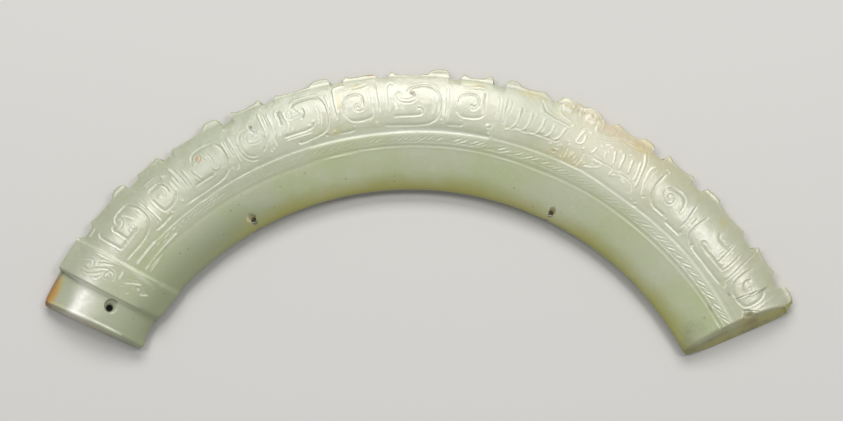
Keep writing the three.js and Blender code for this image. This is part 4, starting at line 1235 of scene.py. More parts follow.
guide_points, guide_numbers = [], []
guide_vectors = {"travel": [], "cut_size": [], "lip_size": [], "span": []}
for number, (kind, marks) in enumerate(strokes):
    way, tangent, fade = smooth_way(marks)
    count = len(way)
    angles = [angle for angle, _ in marks]
    margin = 0.0 if kind is TENON_ROUND else SPAN_MARGIN
    guide_points.append(way)
    guide_numbers.append(np.full(count, number))
    guide_vectors["travel"].append(np.column_stack([tangent, np.zeros(count)]))
    guide_vectors["cut_size"].append(np.tile(np.array(kind[:3]) * MM, (count, 1)))
    lips = [np.full(count, kind[3] * MM), np.full(count, kind[4] * MM), fade]
    guide_vectors["lip_size"].append(np.column_stack(lips))
    span = [min(angles) - margin, max(angles) + margin, 0.0]
    guide_vectors["span"].append(np.tile(span, (count, 1)))
for dot_depth, radius, (angle, reach) in dots:
    guide_points.append(on_arc(angle, reach)[None])
    guide_numbers.append(np.array([len(strokes)]))
    guide_vectors["travel"].append(np.array([[1.0, 0.0, 0.0]]))
    guide_vectors["cut_size"].append(np.array([[dot_depth, radius, radius]]) * MM)
    guide_vectors["lip_size"].append(np.array([[0.0, 0.0, 1.0]]))
    guide_vectors["span"].append(np.array([[*WHOLE_SPAN, 0.0]]))

plan_points = np.concatenate(guide_points)
guide_mesh = bpy.data.meshes.new("stroke_guide")
guide_mesh.from_pydata(np.column_stack([plan_points, np.zeros(len(plan_points))]) * MM, [], [])
number_layer = guide_mesh.attributes.new("number", "INT", "POINT")
number_layer.data.foreach_set("value", np.concatenate(guide_numbers).astype(np.int32))
for name, parts in guide_vectors.items():
    layer = guide_mesh.attributes.new(name, "FLOAT_VECTOR", "POINT")
    layer.data.foreach_set("vector", np.concatenate(parts).astype(np.float32).ravel())
guide = bpy.data.objects.new("stroke_guide", guide_mesh)
bpy.context.scene.collection.objects.link(guide)
print("guide points:", len(guide_mesh.vertices))

# %% [markdown]
# The carving tree goes through the strokes one by one, as the carver did. In each turn every point of
# the front near the stroke finds the closest mark. This cell makes the tree, its repeat zone, and the
# part of it that picks out one stroke's points.

# %% The carving tree: one stroke at a time
carve, carve_in, carve_out = geometry_tree("carve", {
    "Strokes": "Object", "Stroke Count": "Int", "Depth Scale": "Float", "Lip Run": "Float",
    "Deepest": "Float", "Highest": "Float", "End Face Angle": "Float",
})
dials = {socket.name: Field(carve, socket) for socket in carve_in.outputs if socket.type == "VALUE"}
guide_info = add_node(carve, "GeometryNodeObjectInfo", Object=carve_in.outputs["Strokes"])
position = carve.nodes.new("GeometryNodeInputPosition").outputs[0]
normal = carve.nodes.new("GeometryNodeInputNormal").outputs[0]


def store(geometry, name, value, selection=None):
    """A node that writes a number on the points of a mesh in the carving tree."""
    node = add_node(carve, "GeometryNodeStoreNamedAttribute", {"data_type": "FLOAT", "domain": "POINT"})
    node.inputs["Name"].default_value = name
    plug(carve, node.inputs["Geometry"], geometry)
    plug(carve, node.inputs["Value"], value)
    if selection is not None:
        plug(carve, node.inputs["Selection"], selection)
    return node.outputs["Geometry"]


uncut = store(carve_in.outputs["Geometry"], "cut", 0.0)
turn_in = carve.nodes.new("GeometryNodeRepeatInput")
turn_out = carve.nodes.new("GeometryNodeRepeatOutput")
turn_in.pair_with_output(turn_out)
plug(carve, turn_in.inputs["Iterations"], carve_in.outputs["Stroke Count"])
plug(carve, turn_in.inputs["Geometry"], uncut)

same = add_node(carve, "FunctionNodeCompare", {"data_type": "INT", "operation": "EQUAL"})
same_slots = [slot for slot in same.inputs if slot.type == "INT"]
plug(carve, same_slots[0], attribute(carve, "number", "INT"))
plug(carve, same_slots[1], turn_in.outputs["Iteration"])
one_stroke = add_node(carve, "GeometryNodeSeparateGeometry", {"domain": "POINT"})
plug(carve, one_stroke.inputs["Geometry"], guide_info.outputs["Geometry"])
plug(carve, one_stroke.inputs["Selection"], same.outputs[0])

here = add_node(carve, "ShaderNodeSeparateXYZ", Vector=position)
flat_here = add_node(carve, "ShaderNodeCombineXYZ", X=here.outputs["X"], Y=here.outputs["Y"])
nearest = carve.nodes.new("GeometryNodeSampleNearest")
plug(carve, nearest.inputs["Geometry"], one_stroke.outputs["Selection"])
plug(carve, nearest.inputs["Sample Position"], flat_here.outputs[0])
print("strokes for the tree to cut:", len(strokes), "and one turn for all dots")

# %% [markdown]
# A point then sees on which side of the stroke it lies and how far away, and adds the depth of that cut
# there to what is already cut. A cut falls smoothly from its edge to its bottom, and the lip beside it
# fades out over a short run.

# %% The depth of a cut
def stroke_value(value, index):
    """The three parts of a vector at one mark of the stroke in hand."""
    node = add_node(carve, "GeometryNodeSampleIndex", {"data_type": "FLOAT_VECTOR", "domain": "POINT"})
    plug(carve, node.inputs["Geometry"], one_stroke.outputs["Selection"])
    plug(carve, node.inputs["Value"], value)
    plug(carve, node.inputs["Index"], index)
    parts = add_node(carve, "ShaderNodeSeparateXYZ", Vector=node.outputs["Value"])
    return [Field(carve, socket) for socket in parts.outputs]


closest = nearest.outputs["Index"]
mark_x, mark_y, _ = stroke_value(position, closest)
travel_x, travel_y, _ = stroke_value(attribute(carve, "travel", "FLOAT_VECTOR"), closest)
cut_depth, low_width, high_width = stroke_value(attribute(carve, "cut_size", "FLOAT_VECTOR"), closest)
low_lip, high_lip, fade = stroke_value(attribute(carve, "lip_size", "FLOAT_VECTOR"), closest)
span_low, span_high, _ = stroke_value(attribute(carve, "span", "FLOAT_VECTOR"), 0)

off_x = Field(carve, here.outputs["X"]) - mark_x
off_y = Field(carve, here.outputs["Y"]) - mark_y
side = travel_x * off_y - travel_y * off_x
along = (travel_x * off_x + travel_y * off_y).reckon("ABSOLUTE") - MARK_SPACING / 2 * MM
along = along.at_least(0.0)
distance = (side * side + along * along).reckon("SQRT")
on_high = side.less(0.0).flip()
width = low_width * on_high.flip() + high_width * on_high
lip = low_lip * on_high.flip() + high_lip * on_high
ramp = add_node(carve, "ShaderNodeMapRange", {"interpolation_type": "SMOOTHSTEP"}, Value=distance / width)
lip_fall = ((distance - width) / dials["Lip Run"]).at_least(0.0).at_most(1.0).flip()
level = (cut_depth + lip) * Field(carve, ramp.outputs["Result"]) - cut_depth
level = level - lip * (lip_fall * lip_fall).flip()

front_only = Field(carve, attribute(carve, "depth")).less(HALF_DEPTH_SHARE)
place_angle = Field(carve, attribute(carve, "angle"))
in_reach = front_only * Field(carve, attribute(carve, "fine_row"))
in_reach = in_reach * span_low.less(place_angle) * place_angle.less(span_high)
cut_after = Field(carve, attribute(carve, "cut")) + level * fade
plug(carve, turn_out.inputs["Geometry"], store(turn_in.outputs["Geometry"], "cut", cut_after, in_reach))
print("nodes for one turn:", len(carve.nodes))

# %% [markdown]
# At the end the surface moves along its normal by the whole cut. Past the last upright line on the right
# it moves along the slant of the end face instead, so that the sawn face stays flat at its chip.
# The tree also notes how far each point faces up, which the colours use later.

# %% The carved surface
DEPTH_SCALE = 0.8
END_FACE_ANGLE = 62.2
CUT_SIZES = {"Lip Run": 0.34, "Deepest": 0.95, "Highest": 0.42}

whole_cut = Field(carve, attribute(carve, "cut")) * dials["Depth Scale"]
whole_cut = whole_cut.at_least(dials["Deepest"] * -1.0).at_most(dials["Highest"])
lean_here = add_node(carve, "ShaderNodeSeparateXYZ", Vector=attribute(carve, "lean", "FLOAT_VECTOR"))
in_end_face = add_node(carve, "ShaderNodeCombineXYZ", X=lean_here.outputs["X"], Y=lean_here.outputs["Y"],
                       Z=1.0)
way_out = add_node(carve, "ShaderNodeMix", {"data_type": "VECTOR"})
plug(carve, way_out.inputs[0], (place_angle - dials["End Face Angle"]).at_least(0.0).at_most(1.0))
plug(carve, way_out.inputs[4], normal)
plug(carve, way_out.inputs[5], in_end_face.outputs[0])
outward = add_node(carve, "ShaderNodeVectorMath", {"operation": "SCALE"}, Vector=way_out.outputs[1],
                   Scale=whole_cut)
facing = add_node(carve, "ShaderNodeSeparateXYZ", Vector=normal)
with_facing = store(turn_out.outputs["Geometry"], "facing_up", facing.outputs["Z"])
carved = add_node(carve, "GeometryNodeSetPosition", Geometry=with_facing, Offset=outward.outputs[0])
end_in_jade(carve, carve_out, carved.outputs["Geometry"])

carve_values = {name: value * MM for name, value in CUT_SIZES.items()}
carve_values.update({
    "Strokes": guide, "Stroke Count": len(strokes) + 1, "Depth Scale": DEPTH_SCALE,
    "End Face Angle": END_FACE_ANGLE,
})
shape_with(stone, carve, carve_values)
bpy.data.objects.remove(guide)
cut_values = np.zeros(len(stone.data.vertices), np.float32)
stone.data.attributes["cut"].data.foreach_get("value", cut_values)
print("all strokes summed, before the scale and the limits, from", round(cut_values.min() / MM, 2), "mm to",
      round(cut_values.max() / MM, 2), "mm")

# %% [markdown]
# Two small holes near the inner edge most likely carried the cord, and the one in the tenon a pin or a
# second cord. They were drilled from both faces with a blunt point, so each is two cones that meet in a
# waist. Each cutter is a stack of rings, which can shift a little, since no drill went in quite straight.

# %% The drilled holes
DRILL_SIDES = 48
LEFT_CORD_HOLE = [
    (6.0, -29.4, 64.9, 1.3), (4.4, -29.4, 64.7, 0.82), (3.9, -29.35, 64.45, 0.56),
    (2.5, -29.3, 63.95, 0.48), (1.0, -29.3, 64.05, 0.88), (-1.0, -29.3, 64.05, 1.25),
]
RIGHT_CORD_HOLE = [
    (6.0, 26.0, 64.5, 1.3), (4.4, 26.0, 64.3, 0.8), (3.9, 26.0, 64.05, 0.55),
    (2.5, 26.0, 63.6, 0.46), (1.0, 26.0, 63.7, 0.86), (-1.0, 26.0, 63.7, 1.2),
]
TENON_HOLE = [
    (8.0, -56.9, 71.3, 1.6), (5.7, -56.95, 71.35, 1.45), (5.2, -57.2, 71.45, 0.95),
    (4.8, -57.4, 71.5, 0.7), (3.4, -57.55, 71.6, 0.6), (1.4, -57.4, 71.6, 1.1),
    (-1.0, -57.4, 71.6, 1.7),
]


def drill(rings):
    """A cutter from rings, top to bottom, each a height, an angle, a radius and the ring's own radius."""
    around = np.linspace(0, 2 * math.pi, DRILL_SIDES, endpoint=False)
    circle = np.column_stack([np.cos(around), np.sin(around)])
    drill_points = []
    for level, angle, radius, ring_radius in rings:
        ring = on_arc(angle, radius) + circle * ring_radius
        drill_points.append(np.column_stack([ring, np.full(DRILL_SIDES, level)]))
    drill_faces = [list(range(DRILL_SIDES))]
    for level in range(len(rings) - 1):
        for step in range(DRILL_SIDES):
            follow = (step + 1) % DRILL_SIDES
            first, second = level * DRILL_SIDES, (level + 1) * DRILL_SIDES
            drill_faces.append([first + follow, first + step, second + step, second + follow])
    drill_faces.append([(len(rings) - 1) * DRILL_SIDES + step for step in reversed(range(DRILL_SIDES))])
    mesh = bpy.data.meshes.new("drill")
    mesh.from_pydata(np.concatenate(drill_points) * MM, [], drill_faces)
    cutter = bpy.data.objects.new("drill", mesh)
    bpy.context.scene.collection.objects.link(cutter)
    return cutter


def bore(piece, cutter):
    """Cuts a drilled hole through the piece and removes the cutter."""
    modifier = piece.modifiers.new("bore", "BOOLEAN")
    modifier.operation = "DIFFERENCE"
    modifier.solver = "EXACT"
    modifier.object = cutter
    keep_shape(piece)
    bpy.data.objects.remove(cutter)


for rings in (LEFT_CORD_HOLE, RIGHT_CORD_HOLE, TENON_HOLE):
    bore(stone, drill(rings))
edge_use = np.zeros(len(stone.data.edges), int)
loop_edges = np.zeros(len(stone.data.loops), int)
stone.data.loops.foreach_get("edge_index", loop_edges)
np.add.at(edge_use, loop_edges, 1)
print("edges not shared by two faces:", int((edge_use != 2).sum()))

# %% [markdown]
# The marks on the stone are placed by angle and radius, like the carving. So a small shader group turns a
# place on the stone into these two numbers. It reads Object coordinates, which stay with the stone.

# %% The place on the arc, for the colours
def colour_group(name, inputs, outputs):
    """A shader group with these named inputs and outputs, and its two end nodes."""
    group = bpy.data.node_groups.new(name, "ShaderNodeTree")
    for input_name, kind in inputs.items():
        group.interface.new_socket(input_name, in_out="INPUT", socket_type="NodeSocket" + kind)
    for output_name, kind in outputs.items():
        group.interface.new_socket(output_name, in_out="OUTPUT", socket_type="NodeSocket" + kind)
    return group, group.nodes.new("NodeGroupInput"), group.nodes.new("NodeGroupOutput")


place_group, place_in, place_out = colour_group(
    "place_on_arc", {"Vector": "Vector"}, {"Radius": "Float", "Angle": "Float"})
parts = add_node(place_group, "ShaderNodeSeparateXYZ", Vector=place_in.outputs["Vector"])
across = Field(place_group, parts.outputs["X"]) / MM - ARC_CENTRE[0]
upward = Field(place_group, parts.outputs["Y"]) / MM - ARC_CENTRE[1]
plug(place_group, place_out.inputs["Radius"], (across * across + upward * upward).reckon("SQRT"))
plug(place_group, place_out.inputs["Angle"], across.reckon("ARCTAN2", upward) * math.degrees(1))
print("the group gives:", [socket.name for socket in place_out.inputs if socket.name])

# %% [markdown]
# Stains in jade have no edge: they fade out and their outline wanders. One group makes such a patch from
# its place, its two half sizes, a softness and some noise, and all the stains share it. A painted
# picture would do it too, but its pixels would show close up.

# %% A soft patch
PATCH_INPUTS = ("Radius", "Angle", "At Angle", "At Radius", "Half Length", "Half Height", "Softness",
                "Wobble", "Noise")


def between(tree, value, low, high):
    """A mask that rises softly from 0 to 1 while a value goes from low to high."""
    node = add_node(tree, "ShaderNodeMapRange", {"interpolation_type": "SMOOTHSTEP"})
    for name, entry in (("Value", value), ("From Min", low), ("From Max", high)):
        plug(tree, node.inputs[name], entry)
    return Field(tree, node.outputs["Result"])


patch_group, patch_in, patch_out = colour_group(
    "soft_patch", {name: "Float" for name in PATCH_INPUTS}, {"Mask": "Float"})
patch = {socket.name: Field(patch_group, socket) for socket in patch_in.outputs if socket.name}
sideways = (patch["Angle"] - patch["At Angle"]) * patch["At Radius"] * math.radians(1) / patch["Half Length"]
outwards = (patch["Radius"] - patch["At Radius"]) / patch["Half Height"]
from_centre = (sideways * sideways + outwards * outwards).reckon("SQRT")
from_centre = from_centre + (patch["Noise"] - 0.5) * patch["Wobble"]
outside = between(patch_group, from_centre, patch["Softness"].flip(), patch["Softness"] + 1.0)
plug(patch_group, patch_out.inputs["Mask"], outside.flip())
print("nodes in a soft patch:", len(patch_group.nodes))

# %% [markdown]
# Nephrite is waxy and slightly translucent: light goes a little way in and comes out green. It is sage
# green in the plain half and whiter where it is carved, and iron has stained it amber and rust. The thin
# rims and the right end are yellow to olive, partly the stone's own tint and partly painted glow and
# painted shade. Other tints here are painted light and shade only: painted shade, a painted sheen,
# painted highlights and painted light for shaded faces. These are its tints, as linear colours.

# %% The stone's tints
SAGE = (0.45, 0.505, 0.29)
# the carved half's paler tone, also used as painted light in the tenon's hole
PALE_AND_PAINTED_LIGHT = (0.49, 0.50, 0.38)
# the crest's greyer tone, darkened further as painted shade, as a thin edge looks with a dark ground behind
CREST_TONE_AND_SHADE = (0.43, 0.45, 0.31)
WARM = (0.50, 0.475, 0.30)
# olive rim tint: partly the stone's own, partly painted shade as if a dark ground showed through the edge
OLIVE_AND_PAINTED_SHADE = (0.31, 0.30, 0.055)
# painted glow on the steep sides and thin edges
PAINTED_EDGE_GLOW = (0.34, 0.30, 0.07)
# painted light on the shaded right end face
PAINTED_END_GLOW = (0.52, 0.50, 0.17)
# painted shade, a soft grey-green for places that should look less lit
PAINTED_SHADE = (0.34, 0.385, 0.27)
# painted shade, the darkest
SHADE = (0.27, 0.31, 0.19)
# painted sheen: a pale patch for a lamp's reflection on the tenon
PAINTED_SHEEN = (0.80, 0.80, 0.76)
# chalky white in the stone, also used for painted highlights along the upper border and beside the collar
CHALK_AND_PAINTED_HIGHLIGHT = (0.66, 0.69, 0.58)
UMBER = (0.26, 0.20, 0.09)
CLOUDED = (0.53, 0.56, 0.45)
OCHRE = (0.50, 0.41, 0.12)
AMBER = (0.46, 0.235, 0.02)
RUST = (0.30, 0.115, 0.02)
BROWN = (0.13, 0.07, 0.03)
PINK = (0.66, 0.48, 0.32)
# painted light: a pale horn tint that brightens the shaded left end face and the mouths of the cord holes
PAINTED_LIGHT_HORN = (0.66, 0.60, 0.36)
# pale polish on the raised lines together with painted glints, and a painted highlight on the nose
POLISH_AND_PAINTED_GLINT = (0.82, 0.83, 0.70)
# near-black: real specks and a crack, and painted shadow inside the holes
INK_AND_PAINTED_SHADOW = (0.10, 0.11, 0.09)


def blend_colour(tree, factor, first, second):
    """The first colour with the second laid over it by a mask."""
    node = add_node(tree, "ShaderNodeMix", {"data_type": "RGBA"})
    plug(tree, node.inputs[0], factor)
    for slot, value in ((node.inputs[6], first), (node.inputs[7], second)):
        plug(tree, slot, value if isinstance(value, bpy.types.NodeSocket) else (*value, 1.0))
    return node.outputs[2]


def glaze(tree, colour, layers):
    """A colour with layers over it, each with a mask, the strength of its tint and the tint."""
    for mask, strength, tint in layers:
        colour = blend_colour(tree, mask * strength, colour, tint)
    return colour


print("the plain half, as red, green and blue:", SAGE, "and the carved half:", PALE_AND_PAINTED_LIGHT)

# %% [markdown]
# The material now gets what every layer needs: the angle and the radius on the stone, and noise of three
# sizes for its clouds, its mottling and its grain. Short helpers turn each of these into a mask.

# %% Where a tint lies
BROAD_SCALE = 60.0
MIDDLING_SCALE = 260.0
FINE_SCALE = 900.0

jade.use_nodes = True
paint = jade.node_tree
jade_shader = paint.nodes["Principled BSDF"]
object_place = paint.nodes.new("ShaderNodeTexCoord").outputs["Object"]


def use_group(group, **inputs):
    """Places a shader group in the jade's material with its inputs filled by name."""
    return add_node(paint, "ShaderNodeGroup", {"node_tree": group}, **inputs)


def cloud(scale, detail=3.0, roughness=0.55):
    """Soft noise from 0 to 1, with the scale in patches for each metre."""
    node = add_node(paint, "ShaderNodeTexNoise", Vector=object_place, Scale=scale, Detail=detail,
                    Roughness=roughness)
    return Field(paint, node.outputs["Fac"])


on_stone = use_group(place_group, Vector=object_place)
at_radius = Field(paint, on_stone.outputs["Radius"])
at_angle = Field(paint, on_stone.outputs["Angle"])
broad = cloud(BROAD_SCALE)
middling = cloud(MIDDLING_SCALE, detail=4.0)
fine = cloud(FINE_SCALE, detail=4.0, roughness=0.65)


def by_angle(start, full):
    """A mask that rises from 0 to 1 while the angle goes from start to full, in degrees."""
    return between(paint, at_angle, start, full)


def by_radius(start, full):
    """A mask that rises from 0 to 1 while the radius goes from start to full, in millimetres."""
    return between(paint, at_radius, start, full)


def by_noise(noise, start, full):
    """A mask that rises from 0 to 1 while a noise goes from start to full."""
    return between(paint, noise, start, full)


def patch_mask(angle, radius, length, height, softness=0.5, wobble=0.6):
    """A soft patch on the stone at an angle and a radius, with its half sizes in millimetres."""
    node = use_group(patch_group, Radius=at_radius, Angle=at_angle, At_Angle=angle, At_Radius=radius,
                     Half_Length=length, Half_Height=height, Softness=softness, Wobble=wobble, Noise=middling)
    return Field(paint, node.outputs["Mask"])


print("noise patches for each metre:", BROAD_SCALE, MIDDLING_SCALE, FINE_SCALE)

# %% [markdown]
# The colour goes on in layers, as a glaze does. First come the large ones: from sage to pale across
# the band, the greyer crest, partly painted shade, painted shade on the crest and carving left of the top,
# the clouds inside the stone, and the warm part by the mask.

# %% The jade's base colours
colour = blend_colour(paint, by_radius(69.0, 80.0), SAGE, PALE_AND_PAINTED_LIGHT)
colour = glaze(paint, colour, [
    (by_noise(broad, 0.42, 0.66), 0.55, CLOUDED),
    # greyer crest, partly painted shade
    (by_radius(79.5, 84.5), 0.9, CREST_TONE_AND_SHADE),
    # painted shade on the crest and the carving left of the top
    (by_angle(-4.0, -20.0) * by_radius(77.0, 82.0), 0.55, PAINTED_SHADE),
    (by_noise(middling, 0.5, 0.72), 0.25, CLOUDED),
    (by_noise(fine, 0.48, 0.7), 0.14, CHALK_AND_PAINTED_HIGHLIGHT),
    (by_angle(8.0, 24.0) * by_angle(46.0, 36.0) * by_radius(70.0, 80.0), 0.45, WARM),
])
print("nodes for the base colours:", len(paint.nodes))

# %% [markdown]
# Where the stone is thin, its rims and its right end are painted to glow yellow to olive, and the left end
# face gets a painted pale glow: painted light, for the light that passes through. The olive near the inner
# rim is partly the stone's tint and partly painted shade. The tenon has a painted sheen, and painted shade
# makes the plain half darker towards the left, as in the photograph.

# %% Rims and ends, with painted glow and shade
FLAT_FACING = 0.75
STEEP_FACING = 0.35
# share of the painted glow on the crest's sides
PAINTED_CREST_GLOW = 0.5
RIM_WANDER = 3.0
LEFT_RIM_SHARE = 0.25


def mesh_value(name):
    """A value that the carving tree left on the stone's points."""
    node = add_node(paint, "ShaderNodeAttribute", {"attribute_name": name})
    return Field(paint, node.outputs["Fac"])


on_side = between(paint, mesh_value("facing_up"), FLAT_FACING, STEEP_FACING)
right_end = on_side * by_angle(58.0, 61.0)
olive_side = by_angle(50.0, 58.0).at_least(by_radius(66.0, 63.0)).at_least(by_radius(83.4, 84.4) * PAINTED_CREST_GLOW)
near_rim = between(paint, at_radius + (broad - 0.5) * RIM_WANDER, 61.6, 66.8).flip()
near_rim = near_rim * (by_angle(-46.0, -24.0) * (1 - LEFT_RIM_SHARE) + LEFT_RIM_SHARE)
colour = glaze(paint, colour, [
    # painted glow on the steep sides
    (on_side * olive_side, 0.9, PAINTED_EDGE_GLOW),
    # painted light on the right end face
    (right_end, 0.9, PAINTED_END_GLOW),
    # painted light on the shaded left end face
    (on_side * by_angle(-58.0, -61.0), 0.85, PAINTED_LIGHT_HORN),
    (right_end * by_noise(middling, 0.46, 0.64), 0.5, UMBER),
    # painted shade: the plain half darker towards the left
    (by_angle(-14.0, -36.0) * by_radius(72.0, 63.0), 0.95, SHADE),
    # painted sheen on the tenon
    (patch_mask(-59.6, 77.2, 4.2, 2.6, softness=0.9, wobble=0.5), 0.7, PAINTED_SHEEN),
    # olive near the inner rim: the stone's tint with painted shade
    (near_rim, 0.95, OLIVE_AND_PAINTED_SHADE),
])
print("nodes with the rims and ends:", len(paint.nodes))

# %% [markdown]
# The bottoms of the cuts are painted a little darker, which is painted shade. The raised lines are painted
# pale: partly polish from handling, partly painted glints. Both follow the depth of cut that the carving
# tree left on the mesh, so they fit every stroke.

# %% Painted shade in the cuts, polish and painted glints on the ridges
# dims the pale ridges, polish and painted glints, on the nose
NOSE_DULLING = 0.55

cut_height = mesh_value("cut") / MM
in_cut = between(paint, cut_height, -0.03, -0.2)
on_ridge = between(paint, cut_height, 0.01, 0.075) * between(paint, cut_height, 0.2, 0.13)
on_nose = patch_mask(23.6, 84.9, 4.4, 1.6, softness=0.4, wobble=0.0)
colour = glaze(paint, colour, [
    # painted shade in the cuts
    (in_cut, 0.3, PAINTED_SHADE),
    # pale polish and painted glints on the raised lines
    (on_ridge * (on_nose * NOSE_DULLING).flip(), 0.65, POLISH_AND_PAINTED_GLINT),
])
print("nodes with the cuts and ridges:", len(paint.nodes))

# %% [markdown]
# Iron, earth and handling have left ochre, brown and chalky stains, a rust-coloured skin at the tenon's
# corner and a fine dark crack near the right end. The same list lays on painted shade over parts of the
# tenon, the carving and the inner rim on the left, and painted highlights and painted light: a line along
# the upper border, one beside the collar, a spot on the nose and the mouths of the holes. Each is a tint,
# a strength and a patch: an angle, a radius and two half sizes. They were judged from the photograph,
# one after the other.

# %% Stains and skin, with painted shade and highlights
STAINS = [
    # the grey-green patches in this list are painted shade over the tenon's corner and the carving, not
    # stains
    (PAINTED_SHADE, 0.7, (-60.2, 81.2, 5.0, 2.6)), (PAINTED_SHADE, 0.4, (-27.5, 78.5, 13.0, 6.0)),
    (PAINTED_SHADE, 0.55, (-31.5, 79.0, 6.0, 3.2)), (PAINTED_SHADE, 0.45, (18.5, 79.5, 7.0, 3.8)),
    # the long pale patch along the upper border line at the top is a painted highlight
    (PAINTED_SHADE, 0.3, (41.0, 80.0, 6.0, 3.2)), (CHALK_AND_PAINTED_HIGHLIGHT, 0.55, (-3.0, 74.0, 17.0, 0.7)),
    # the pale spot on the nose boss is a painted highlight
    (OCHRE, 0.45, (25.2, 75.4, 3.0, 1.2)), (POLISH_AND_PAINTED_GLINT, 0.8, (24.9, 84.85, 0.45, 0.4)),
    (PINK, 0.25, (22.0, 85.4, 1.6, 0.8)), (PAINTED_SHADE, 0.45, (16.0, 84.0, 9.0, 3.0)),
    (PAINTED_SHADE, 0.3, (-20.0, 81.5, 7.0, 3.5)), (CHALK_AND_PAINTED_HIGHLIGHT, 0.5, (48.0, 73.2, 15.0, 2.2)),
    (CHALK_AND_PAINTED_HIGHLIGHT, 0.4, (30.5, 75.2, 8.0, 2.6)), (UMBER, 0.4, (62.2, 76.9, 1.3, 1.0)),
    # the narrow pale patch beside the collar is a painted highlight on its upper step
    (UMBER, 0.35, (-60.7, 64.8, 0.7, 1.3)), (CHALK_AND_PAINTED_HIGHLIGHT, 0.5, (-50.3, 70.8, 0.5, 3.0)),
    (OCHRE, 0.55, (-10.3, 81.0, 0.5, 1.7)), (OCHRE, 0.5, (-7.8, 83.3, 0.8, 0.3)),
    (RUST, 0.55, (-5.5, 85.5, 0.7, 0.5)), (OCHRE, 0.4, (16.5, 84.7, 2.4, 0.8)),
    (OCHRE, 0.3, (9.0, 84.0, 2.0, 0.7)), (OCHRE, 0.3, (-11.5, 75.2, 1.1, 0.7)),
    (PINK, 0.26, (31.0, 84.6, 5.4, 2.0)), (OCHRE, 0.35, (33.2, 84.2, 1.9, 0.9)),
    (PINK, 0.2, (26.4, 84.8, 4.6, 1.6)), (OCHRE, 0.3, (21.7, 84.6, 0.7, 0.4)),
    (OCHRE, 0.55, (32.7, 84.15, 0.35, 0.25)), (OCHRE, 0.6, (33.2, 83.6, 0.4, 0.22)),
    (OCHRE, 0.35, (21.0, 82.9, 0.7, 0.7)), (OCHRE, 0.3, (33.6, 85.6, 1.4, 0.8)),
    (BROWN, 0.4, (-23.4, 81.2, 0.4, 0.3)), (OCHRE, 0.35, (22.1, 75.4, 0.7, 0.6)),
    (BROWN, 0.4, (22.1, 75.4, 0.2, 0.18)), (BROWN, 0.7, (0.2, 81.4, 0.45, 0.4)),
    (AMBER, 0.5, (-31.9, 80.4, 0.6, 0.6)), (OCHRE, 0.3, (48.4, 83.6, 1.1, 0.6)),
    (INK_AND_PAINTED_SHADOW, 0.16, (59.2, 65.5, 2.0, 2.6)), (INK_AND_PAINTED_SHADOW, 0.16, (60.8, 63.6, 1.6, 1.6)),
    (INK_AND_PAINTED_SHADOW, 0.6, (59.0, 81.7, 0.2, 1.3)), (INK_AND_PAINTED_SHADOW, 0.55, (58.65, 79.4, 0.2, 1.2)),
    (INK_AND_PAINTED_SHADOW, 0.45, (58.2, 77.0, 0.18, 1.1)), (INK_AND_PAINTED_SHADOW, 0.4, (56.9, 75.6, 0.5, 0.2)),
    (INK_AND_PAINTED_SHADOW, 0.4, (57.2, 70.9, 0.7, 0.2)), (INK_AND_PAINTED_SHADOW, 0.4, (58.0, 69.0, 0.25, 0.25)),
    (INK_AND_PAINTED_SHADOW, 0.3, (60.9, 77.0, 0.5, 0.25)), (OCHRE, 0.35, (61.6, 76.6, 1.2, 1.8)),
    (OCHRE, 0.5, (-59.8, 83.0, 3.8, 1.4)), (AMBER, 0.95, (-60.6, 83.3, 3.4, 1.4)),
    (RUST, 0.85, (-62.1, 82.8, 0.9, 1.3)), (RUST, 0.75, (-60.9, 84.0, 3.4, 0.7)),
    # painted shade on the tenon's inner side and along the inner rim on the left
    (PAINTED_SHADE, 0.5, (-59.3, 68.0, 4.0, 4.5)), (SHADE, 0.5, (-52.0, 62.4, 15.0, 1.8)),
    (RUST, 0.5, (-59.0, 84.0, 2.6, 0.6)), (OCHRE, 0.3, (-61.2, 80.6, 1.0, 1.6)),
    # painted light in the mouths of the two cord holes
    (PAINTED_LIGHT_HORN, 0.95, (-29.6, 64.9, 0.8, 0.6)), (PAINTED_LIGHT_HORN, 0.85, (25.8, 64.5, 0.7, 0.6)),
    # painted light on the shaded wall of the tenon's hole
    (PALE_AND_PAINTED_LIGHT, 0.9, (-55.8, 71.6, 0.7, 1.2)),
]
for tint, strength, place in STAINS:
    colour = glaze(paint, colour, [(patch_mask(*place), strength, tint)])
print("stains:", len(STAINS))

# %% [markdown]
# The holes are painted dark inside: painted shadow. Small brown specks and a fine grey speckle in the
# lower right corner finish the colours.

# %% Painted shadow in the holes, specks and speckle
PAINTED_HOLE_SHADOWS = [(-29.3, 63.8, 0.55), (26.0, 63.5, 0.5), (-57.5, 71.5, 0.7)]
HOLE_SHADOW_STRENGTH = 0.8
SPECK_SIZE = 0.17
SPECK_STRENGTH = 0.45
SPECKS = [
    (-43, 67.6), (-41.5, 67.2), (-35.2, 65.0), (-31.8, 68.2), (-30.2, 68.4), (-29, 69.8), (-25, 64.6),
    (-22.6, 68.0), (-18, 68.8), (-11.5, 65.6), (-3, 65.0), (-3, 64.0), (18.2, 65.8), (-56.8, 66.4),
    (-50, 64.4), (22.5, 63.6), (61.7, 78.4),
]
SPECKLE_SCALE = 2600.0

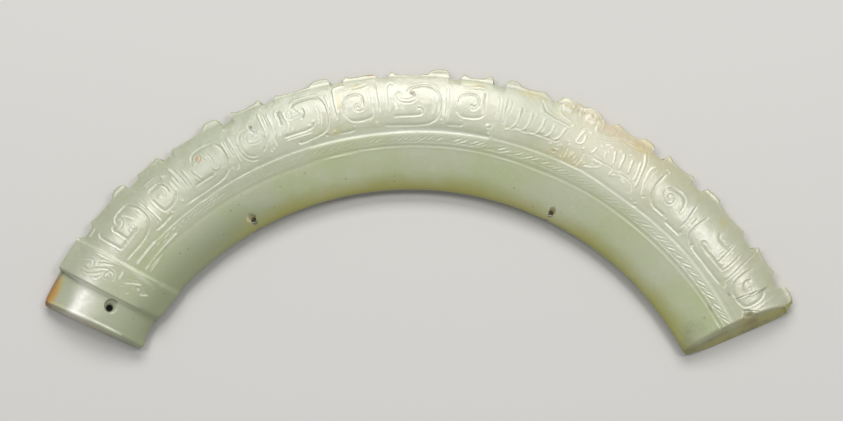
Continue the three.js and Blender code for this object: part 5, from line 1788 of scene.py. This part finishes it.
# painted shadow inside the three holes
for angle, radius, reach in PAINTED_HOLE_SHADOWS:
    in_hole = patch_mask(angle, radius, reach, reach, softness=0.2, wobble=0.1)
    colour = glaze(paint, colour, [(in_hole, HOLE_SHADOW_STRENGTH, INK_AND_PAINTED_SHADOW)])
for angle, radius in SPECKS:
    speck = patch_mask(angle, radius, SPECK_SIZE, SPECK_SIZE)
    colour = glaze(paint, colour, [(speck, SPECK_STRENGTH, BROWN)])
speckle = by_noise(cloud(SPECKLE_SCALE, detail=2.0), 0.6, 0.68)
dark_corner = patch_mask(59.8, 65.0, 4.0, 3.0, softness=0.8, wobble=0.3)
colour = glaze(paint, colour, [
    (speckle * dark_corner, 0.6, INK_AND_PAINTED_SHADOW),
    (speckle * by_noise(broad, 0.5, 0.7), 0.14, BROWN),
])
plug(paint, jade_shader.inputs["Base Color"], colour)
print("specks:", len(SPECKS), "nodes for all the colours:", len(paint.nodes))

# %% [markdown]
# The polish is soft. It is duller on the sawn right end, and a little where the stone is worn: by the
# mask, on the left and at the tenon's corner. Some light enters the stone and comes out near by. The
# surface also waves slightly, more on the carved half, because it was ground by hand.

# %% The jade's surface
POLISHED_ROUGHNESS = 0.32
END_ROUGHENING = 0.45
WORN_ROUGHENING = 0.07
LEFT_WEAR = 0.7
TENON_WEAR = 2.4
FINE_RELIEF = 0.016
MIDDLING_RELIEF = 0.14
BROAD_RELIEF = 0.3
PLAIN_RELIEF_SHARE = 0.3
JADE_SETTINGS = {
    "IOR": 1.61, "Specular IOR Level": 1.0, "Subsurface Weight": 0.45,
    "Subsurface Radius": (1.0, 1.0, 0.6), "Subsurface Scale": 0.7 * MM,
}

worn = by_angle(9.0, 17.0) * by_angle(41.0, 33.0)
worn = worn.at_least(by_angle(-42.0, -36.0) * by_angle(-19.0, -25.0) * LEFT_WEAR) * by_radius(71.0, 76.0)
worn = worn.at_least(patch_mask(-60.6, 82.6, 4.0, 3.4, softness=0.8, wobble=0.0) * TENON_WEAR)
roughness = right_end * END_ROUGHENING + worn * WORN_ROUGHENING + POLISHED_ROUGHNESS
plug(paint, jade_shader.inputs["Roughness"], roughness)
for name, value in JADE_SETTINGS.items():
    jade_shader.inputs[name].default_value = value

relief_share = by_radius(70.0, 73.0) * (1 - PLAIN_RELIEF_SHARE) + PLAIN_RELIEF_SHARE
relief = fine * FINE_RELIEF + (middling * MIDDLING_RELIEF + broad * BROAD_RELIEF) * relief_share
bump = add_node(paint, "ShaderNodeBump", Strength=1.0, Distance=MM, Height=relief)
plug(paint, jade_shader.inputs["Normal"], bump.outputs["Normal"])
print("nodes in the jade's material:", len(paint.nodes))

# %% [markdown]
# The stone is one body with nothing that moves, so it rides on the root. It takes the place of the packed
# model's jade_arc, which is hidden.

# %% Ride and smooth shading
triangles = sum(len(face.vertices) - 2 for face in stone.data.polygons)
print("triangles on the stone:", triangles)
print("materials on the stone:", [slot.name for slot in stone.data.materials])
stone.data.polygons.foreach_set("use_smooth", np.ones(len(stone.data.polygons), bool))
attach(stone, "root")
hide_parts("jade_arc")
